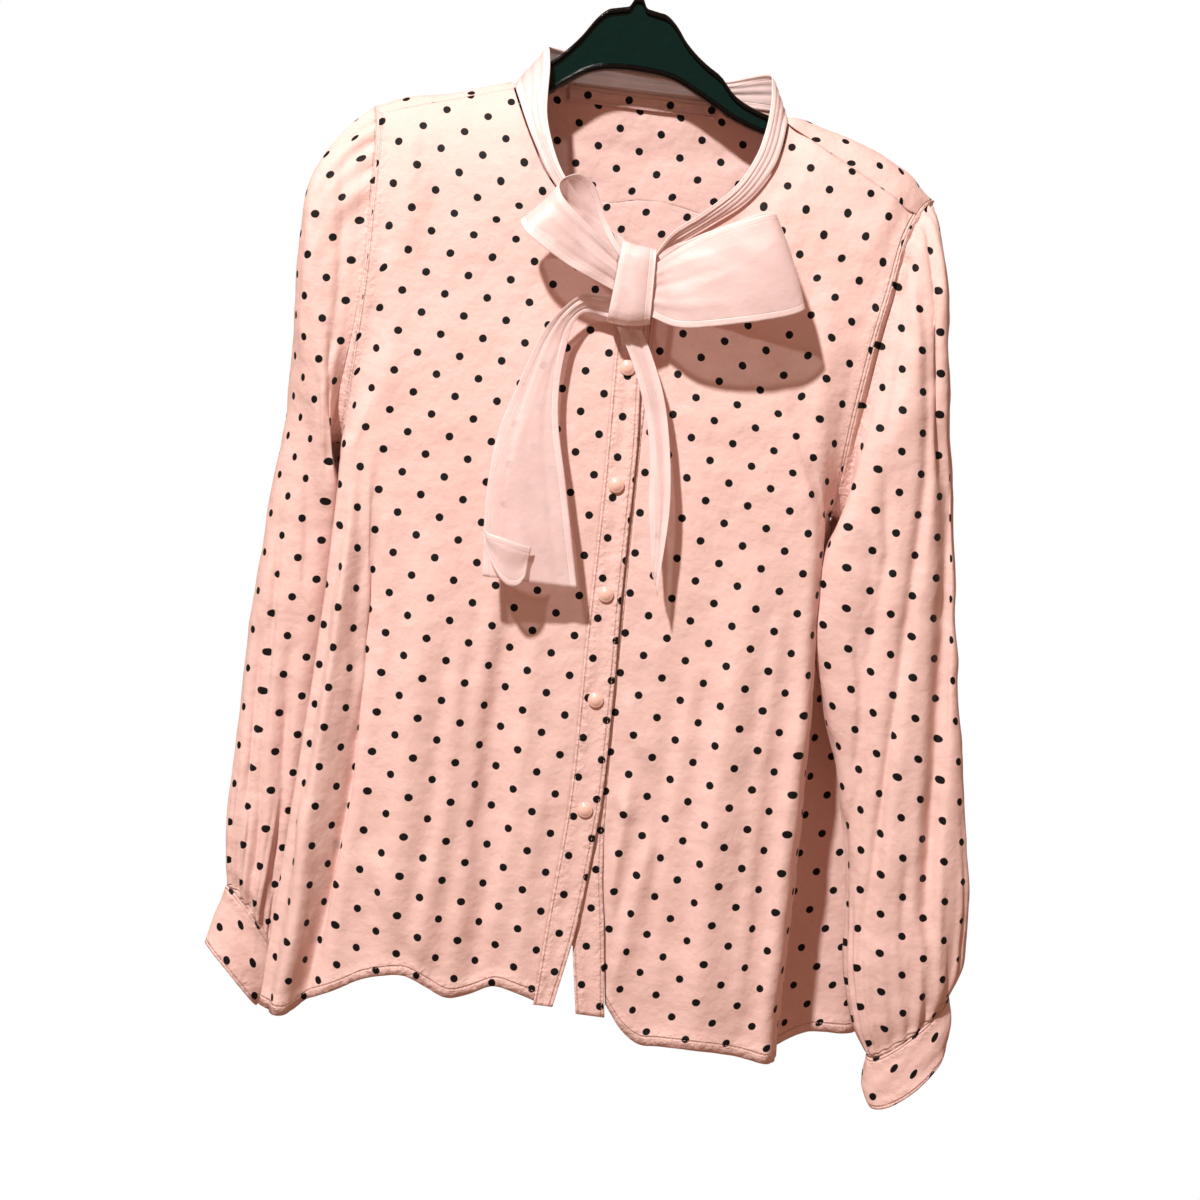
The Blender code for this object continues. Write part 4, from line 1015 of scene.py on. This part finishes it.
def sleeve(name, node, side, rings, grooves, sag, seed):
    angles, rows = ringAngles(132), sleeveRows
    grid = np.array([[sleevePoint(side, rings, grooves, sag, angle, v) for angle in angles] for v in rows])
    grid[0] = [armhole(side, angle) for angle in angles]
    plain = np.array([[sleevePoint(side, rings, (), sag, angle, v) for angle in angles] for v in rows])
    u, v = tubeMap(plain, side["out"])
    down = lengthsAlong(grid, 0)
    start = int(np.searchsorted(rows, gatherStart))
    u[start:] = u[start]
    v[start:] = v[start] - (down[start:] - down[start])
    turn = np.radians(angles)[None, :]
    t = rows[:, None]
    lift = 0.9 * waves(u, v, 70, seed) + 0.35 * waves(u, v, 26, seed + 1)
    lift *= smoothStep(t, 0.0, 0.1) * (1 - smoothStep(t, 0.9, 0.99))

    def near(angle, reach):
        return np.exp(-(((np.degrees(turn) - angle + 180) % 360 - 180) / reach) ** 2)

    for angle, deep in capPleats[side["name"]]:
        fade = smoothStep(t, 0, 0.02) * (1 - smoothStep(t, 0.03, 0.24))
        lift += 1.9 * deep * (near(angle, 3.4 + 22 * t) - 0.16) * fade
    for line, reach, deep in sleeveCreases[side["name"]]:
        flank, distance, place = nearLine(grid[..., 0], grid[..., 2], line)
        fade = np.clip(np.sin(pi * np.clip(place, 0.03, 0.97)) * 2.2, 0, 1) * (np.sin(turn) > 0.02)
        lift += deep * np.exp(-(distance / np.where(flank > 0, reach * 0.5, reach)) ** 2) * fade
    random = np.random.default_rng(seed)
    for k in range(gathers):
        angle = k * 360 / gathers + random.uniform(-5, 5)
        first = random.uniform(0.72, 0.9)
        deep = random.uniform(2.2, 4.4)
        lift += deep * (near(angle, random.uniform(3.5, 6)) - 0.04) * smoothStep(t, first, 0.97)
    shaped = lifted(grid, lift, outwardOf(grid), around=True, seams=("bottom", "top"), fade=3.0)
    clothPiece(name, node, shaped, panelLook, walls["panel"], u, v, toEdges(down) + 4.0, around=True)


sleeve("sleeveRight", "sleeve_right", rightSide, sleeveRight, groovesRight, -9, 41)
sleeve("sleeveLeft", "sleeve_left", leftSide, sleeveLeft, groovesLeft, 8, 57)


def cuff(name, node, rings, seed):
    rows = np.linspace(0, 1, 26)
    grid = np.array([[cuffPoint(rings, angle, v) for angle in ringAngles(120)] for v in rows])
    down = lengthsAlong(grid, 0)
    width = lengthsAlong(grid * (1, 1, 0.5), 1)[len(rows) // 2 - 1]
    u, v = np.repeat(width[None, :], len(rows), 0) + 9, -down
    lift = 0.5 * waves(u, v, 30, seed) + 0.2 * waves(u, v, 11, seed + 1)
    shaped = lifted(grid, lift, outwardOf(grid), around=True)
    clothPiece(name, node, shaped, bandLook, walls["cuff"], u, v, toEdges(down), around=True)


cuff("cuffRight", "cuff_right", cuffRight, 71)
cuff("cuffLeft", "cuff_left", cuffLeft, 83)
print("sleeves and cuffs ready")


# Button band over the right front, and the band under it
def band(name, node, grid, origin, seed):
    grid = np.array(grid, float)
    across, middle = lengthsAlong(grid, 1), grid.shape[0] // 2
    u = origin[0] + grid[:, :1, 0] + across
    v = origin[1] + grid[middle, :, 2][None, :] + lengthsAlong(grid, 0, middle)
    hem = toEdges(across, 1)
    groove = 0.25 * np.exp(-((hem - stitching["band"]) / 0.9) ** 2)
    lift = 0.35 * waves(u, v, 24, seed) + 0.18 * waves(u, v, 9, seed + 1) - groove
    clothPiece(name, node, lifted(grid, lift, facing(grid)), bandLook, walls["band"], u, v, hem)


band("placketRight", "placket_right", bandGrid(
    -699, -164, 220, -0.55, lambda z: stitchLine.at("x", z) - 0.6, lambda z: placketEdge.at("x", z), 14),
    rightSide["origin"], 3)
band("placketLeft", "placket_left", bandGrid(
    -703, -169, 180, 2.9, lambda z: underEdge.at("x", z) - underWidth.at("w", z),
    lambda z: underEdge.at("x", z) + 0.6, 12), leftSide["origin"], 9)

# Dotted strip inside the back neck
grid = refined(tape, 0.12, 0.12)
clothPiece("neckTape", "neck_tape", grid, bandLook, walls["tape"], grid[..., 0] - 1, grid[..., 2] + 61,
           toEdges(lengthsAlong(grid, 0)))
print("bands ready")

# Collar band: long soft folds run round the neck
grid = refined(collar, 0.2, 0.25)
seam = np.clip(1 - np.linspace(0, 1, grid.shape[0])[:, None] * 4, 0, 1) * (grid[..., 1] > 0)
grid[..., 2] -= 3.2 * seam
share = np.linspace(0, 1, grid.shape[0])[:, None]
walk = np.linspace(0, 1, grid.shape[1])[None, :]
along = lengthsAlong(grid, 1)
collarFolds = ((0.1, 0.07, 0.5), (0.34, 0.08, 0.8), (0.6, 0.07, 0.7), (0.84, 0.07, 0.8))
folds = sum(deep * np.exp(-((share - place - 0.05 * np.sin(walk * 9 + k)) / width) ** 2)
            for k, (place, width, deep) in enumerate(collarFolds))
lift = folds - 0.4 + 0.4 * waves(along, lengthsAlong(grid, 0), 26, 14)
toMiddle = np.array([20.0, 0.0, 0.0]) - grid * (1, 1, 0)
outward = -np.sign((normalsOf(grid) * toMiddle).sum(axis=2, keepdims=True))
shaped = grid + normalsOf(grid) * np.where(outward == 0, 1, outward) * lift[..., None]
down = lengthsAlong(grid, 0)
clothPiece("collarBand", "collar_band", shaped, knotLook, walls["collar"], along, down, toEdges(down))


# A strip of the tie between two drawn edges, with soft pleats along it
def ribbon(name, node, edges, steps, across, pleats, seed, puff, calm):
    walk = np.array([spline(edges, i / steps) for i in range(steps + 1)])
    share = np.linspace(0, 1, across + 1)[:, None, None]
    grid = walk[None, :, :3] * (1 - share) + walk[None, :, 3:] * share
    along, down = lengthsAlong(grid, 1), lengthsAlong(grid, 0)
    t = np.linspace(0, 1, steps + 1)[None, :]
    s = share[..., 0]
    lift = puff * np.sin(pi * s) * np.sin(pi * t)
    for place, width, deep, drift in pleats:
        pleat = np.exp(-((s - place - drift * np.sin(pi * t)) / width) ** 2)
        lift = lift + deep * pleat * (1 - calm * np.sin(pi * t))
    lift = lift + 0.6 * waves(along, down, 34, seed)
    shaped = grid + normalsOf(grid) * lift[..., None]
    clothPiece(name, node, shaped, veilLook, walls["veil"], along, down, toEdges(down))


# Pleats: place across, half width, depth and drift
loopPleats = ((0.2, 0.06, 0.9, 0.05), (0.46, 0.06, -1.0, -0.06), (0.72, 0.06, 0.9, 0.06))
tailRightPleats = ((0.2, 0.06, 0.9, 0.05), (0.55, 0.09, -0.7, 0.08), (0.8, 0.06, 0.8, -0.05))
tailLeftPleats = ((0.3, 0.1, 1.2, 0.06), (0.7, 0.1, -1.2, -0.05))
# Corner of the right tail, turned up over its front
tailCorner = ((-62, -74.5, -366, -61, -74.5, -370), (-57, -76.5, -369, -54, -76.5, -387),
              (-46, -78, -371, -43, -78.5, -401), (-34, -77, -374, -34, -77, -403),
              (-27, -75, -375, -29, -75.5, -396))
for name, node, edges, steps, across, pleats, seed, puff, calm in (
        ("bowLoopRight", "bow_loop_right", loopRight, 110, 34, loopPleats, 31, 1.5, 1.0),
        ("bowLoopLeft", "bow_loop_left", loopLeft, 130, 44, loopPleats, 37, 2.0, 1.0),
        ("tailRight", "tail_right", tailRight, 110, 40, tailRightPleats, 43, 0.0, 0.7),
        ("tailCorner", "", tailCorner, 24, 14, ((0.5, 0.2, 0.8, 0.1),), 53, 0.0, 0.0),
        ("tailLeft", "tail_left", tailLeft, 100, 24, tailLeftPleats, 47, 0.0, 0.3)):
    ribbon(name, node, edges, steps, across, pleats, seed, puff, calm)

# Knot: the wrap crosses the front with slanting folds
grid = refined(knot, 0.12, 0.16, around=True)
angle = np.linspace(0, 2 * pi, grid.shape[1] + 1)[:-1][None, :]
share = np.linspace(0, 1, grid.shape[0])[:, None]
lift = 0.28 * np.sin(share * 11 + 1.2 * np.cos(angle)) * smoothStep(share, 0, 0.1) * smoothStep(share, 1, 0.9)
shaped = grid + normalsOf(grid, True) * outwardOf(grid) * lift[..., None]
wrap, over = lengthsAlong(grid, 1), lengthsAlong(grid, 0)
clothPiece("bowKnot", "bow_knot", shaped, knotLook, walls["knot"], wrap, over, toEdges(over), around=True)
print("bow ready")

# Buttons: domed, with a rolled rim
buttonProfile = ((0, 0.2), (3.9, 0.2), (4.9, 0.5), (5.45, 1.0), (5.5, 1.5), (5.2, 2.05), (4.7, 2.25), (4.3, 2.3),
                 (3.9, 2.55), (2.9, 3.15), (1.8, 3.5), (0.8, 3.66), (0, 3.7))
buttonSteps = 40
for number in range(1, 6):
    x, z = buttons.at("x", number), buttons.at("z", number)
    bm = bmesh.new()
    y = frontDepth(rightSide, x, z) - clothWall / 2 - buttonGap
    place = Matrix.Translation((x / 1000, y / 1000, (z - hookTop) / 1000)) @ Matrix.Rotation(pi / 2, 4, "X")
    rings = []
    for radius, height in buttonProfile:
        turns = [2 * pi * k / buttonSteps for k in range(buttonSteps if radius else 1)]
        ring = [Vector((radius * cos(turn) / 1000, radius * sin(turn) / 1000, height / 1000)) for turn in turns]
        rings.append([bm.verts.new(place @ point) for point in ring])
    for low, high in zip(rings, rings[1:]):
        for k in range(buttonSteps):
            n = (k + 1) % buttonSteps
            corners = [low[k % len(low)], low[n % len(low)], high[n % len(high)], high[k % len(high)]]
            bm.faces.new(list(dict.fromkeys(corners)))
    piece = linked(f"button{number}", closedMesh(f"button{number}", bm, pearlMaterial))
    mounted(piece, f"button_{number}")

# Hanger body: the same rimmed section, smoothed along its length
along = sampled(np.array(sections, float), spread(len(sections), 0.3))
bm = bmesh.new()
rings = [[bm.verts.new((x / 1000, y / 1000, (z - hookTop) / 1000)) for x, y, z in section] for section in along]
for low, high in zip(rings, rings[1:]):
    for k in range(len(low)):
        n = (k + 1) % len(low)
        bm.faces.new((low[k], low[n], high[n], high[k]))
bm.faces.new(rings[0])
bm.faces.new(rings[-1][::-1])
hangerPiece = linked("hangerBody", closedMesh("hangerBody", bm, plasticMaterial))
bevel = hangerPiece.modifiers.new("edges", "BEVEL")
bevel.width = 0.0006
bevel.segments = 2
bevel.angle_limit = radians(28)
bevel.harden_normals = True
mounted(hangerPiece, "hanger_body")

# Wire hook
wire = dict(radius=1.9, ring=20.0)
middle = hookTop + wire["radius"] - wire["ring"]
path = [(0, 7.6), (0, 10), (0.2, 13), (1.2, 17), (2.9, 19.6), (4.9, 21.4), (7.0, 22.4)]
path += [(wire["ring"] * cos(radians(a)), middle + wire["ring"] * sin(radians(a))) for a in range(-64, 204, 6)]
curve = bpy.data.curves.new("hangerHook", "CURVE")
curve.dimensions = "3D"
curve.bevel_depth = wire["radius"] / 1000
curve.bevel_resolution = 5
curve.use_fill_caps = True
line = curve.splines.new("POLY")
line.points.add(len(path) - 1)
for point, (x, z) in zip(line.points, path):
    point.co = (x / 1000, 0, (z - hookTop) / 1000, 1)
curve.materials.append(wireMaterial)
mounted(linked("hangerHook", curve), "hanger_hook")
print("hanger ready")


# Stitches: one small thread lump repeated along drawn lines by Geometry Nodes
bm = bmesh.new()
bmesh.ops.create_icosphere(bm, subdivisions=1, radius=1)
for vert in bm.verts:
    vert.co = [value * size for value, size in zip(vert.co, stitching["size"])]
mesh = bpy.data.meshes.new("stitch")
bm.to_mesh(mesh)
bm.free()
stitch = bpy.data.objects.new("stitch", mesh)
group = bpy.data.node_groups.new("stitches", "GeometryNodeTree")
for way in ("INPUT", "OUTPUT"):
    group.interface.new_socket("Geometry", in_out=way, socket_type="NodeSocketGeometry")
chain = ("NodeGroupInput", "GeometryNodeMeshToCurve", "GeometryNodeResampleCurve", "GeometryNodeInstanceOnPoints",
         "GeometryNodeRealizeInstances", "GeometryNodeSetMaterial", "NodeGroupOutput")
aims = ("GeometryNodeObjectInfo", "GeometryNodeInputTangent", "FunctionNodeAlignRotationToVector")
nodes = {kind: group.nodes.new(kind) for kind in chain + aims}
nodes["GeometryNodeResampleCurve"].mode = "LENGTH"
nodes["GeometryNodeResampleCurve"].inputs["Length"].default_value = stitching["length"]
nodes["GeometryNodeObjectInfo"].inputs["Object"].default_value = stitch
nodes["FunctionNodeAlignRotationToVector"].axis = "Z"
nodes["GeometryNodeSetMaterial"].inputs["Material"].default_value = threadMaterial
for a, out, b, into in [(a, 0, b, 0) for a, b in zip(chain, chain[1:])] + [
        ("GeometryNodeObjectInfo", "Geometry", "GeometryNodeInstanceOnPoints", "Instance"),
        ("GeometryNodeInputTangent", 0, "FunctionNodeAlignRotationToVector", "Vector"),
        ("FunctionNodeAlignRotationToVector", 0, "GeometryNodeInstanceOnPoints", "Rotation")]:
    group.links.new(nodes[a].outputs[out], nodes[b].inputs[into])


def stitchLines(name, lines):
    mesh = bpy.data.meshes.new(name)
    points, edges = [], []
    for line in lines:
        start = len(points)
        points += [(x / 1000, y / 1000, (z - hookTop) / 1000) for x, y, z in line]
        edges += [(start + k, start + k + 1) for k in range(len(line) - 1)]
    mesh.from_pydata(points, edges, [])
    guide = linked(name + "Guide", mesh)
    modifier = guide.modifiers.new("stitches", "NODES")
    modifier.node_group = group
    bpy.context.view_layer.update()
    made = bpy.data.meshes.new_from_object(guide.evaluated_get(bpy.context.evaluated_depsgraph_get()))
    bpy.data.objects.remove(guide)
    made.shade_smooth()
    mounted(linked(name, made))


# A line on a grid a set distance from one of its edges, raised off the cloth
def lineOn(grid, edge, distance, raised, outward, around=False):
    normals = normalsOf(grid, around) * outward
    if edge in ("bottom", "top"):
        grid, normals = grid.transpose(1, 0, 2), normals.transpose(1, 0, 2)
    points = []
    for line, rises, walked in zip(grid, normals, lengthsAlong(grid, 1)):
        wanted = distance if edge in ("bottom", "first") else walked[-1] - distance
        place = np.interp(wanted, walked, np.arange(len(line)))
        low = int(min(place, len(line) - 2))
        points.append(mix(line[low], line[low + 1], place - low) + rises[low] * raised)
    return points + points[:1] if around else points


# How far the thread stands off the middle of each wall
raised = dict(band=0.72, hem=0.48, cuff=0.82)
stitchLines("bandStitching", [
    lineOn(grids[name], edge, stitching["band"], raised["band"], facing(grids[name]))
    for name in ("placketRight", "placketLeft") for edge in ("first", "last")])
lowerBack = grids["backPanel"][: grids["backPanel"].shape[0] // 2]
stitchLines("hemStitching", [
    lineOn(grids[name], "bottom", stitching["hem"], raised["hem"], way)
    for name, way in (("frontRight", facing(grids["frontRight"])), ("frontLeft", facing(grids["frontLeft"])),
                      ("backPanel", facing(lowerBack, 1)))])
stitchLines("cuffStitching", [
    lineOn(grids[name], edge, stitching["band"], raised["cuff"], outwardOf(grids[name]), True)
    for name in ("cuffRight", "cuffLeft") for edge in ("bottom", "top")])
bpy.data.objects.remove(stitch)
print("stitching ready")

# Camera as in the picture: turned 7 degrees, a little above the middle
roll, rise = radians(7), radians(6)
aim = Vector((0.0235, -0.03, -0.470))
lens, sensor, width = 70, 36, 0.840
back = Vector((0, -cos(rise), sin(rise)))
camera = linked("camera", bpy.data.cameras.new("camera"))
camera.data.lens = lens
camera.data.sensor_width = sensor
camera.data.clip_start = 0.05
camera.location = aim + back * (width * lens / sensor)
upright = (-back).to_track_quat("-Z", "Y").to_matrix().to_4x4()
camera.matrix_world = Matrix.Translation(camera.location) @ upright @ Matrix.Rotation(roll, 4, "Z")
bpy.context.scene.camera = camera

# Light: a small bright lamp high on the left, and a white room
toLamp, lampDistance = Vector((-0.34, -0.62, 0.71)).normalized(), 3.2
lamp = linked("key", bpy.data.lights.new("key", "AREA"))
lamp.data.shape = "DISK"
lamp.data.size = 0.16
lamp.data.energy = 150
lamp.data.color = (1.0, 0.975, 0.95)
lampTurn = toLamp.to_track_quat("Z", "Y").to_matrix().to_4x4()
lamp.matrix_world = Matrix.Translation(aim + toLamp * lampDistance) @ lampTurn
world = bpy.data.worlds.new("room")
world.use_nodes = True
bpy.context.scene.world = world
tree = world.node_tree
sky = tree.nodes["Background"]
sky.inputs["Color"].default_value = (1.0, 0.57, 0.40, 1)
sky.inputs["Strength"].default_value = 0.37
seen = tree.nodes.new("ShaderNodeBackground")
seen.inputs["Color"].default_value = (1, 1, 1, 1)
pathKind = tree.nodes.new("ShaderNodeLightPath")
choice = tree.nodes.new("ShaderNodeMixShader")
tree.links.new(pathKind.outputs["Is Camera Ray"], choice.inputs["Fac"])
tree.links.new(sky.outputs[0], choice.inputs[1])
tree.links.new(seen.outputs[0], choice.inputs[2])
tree.links.new(choice.outputs[0], tree.nodes["World Output"].inputs["Surface"])
bpy.context.scene.view_settings.view_transform = "Standard"
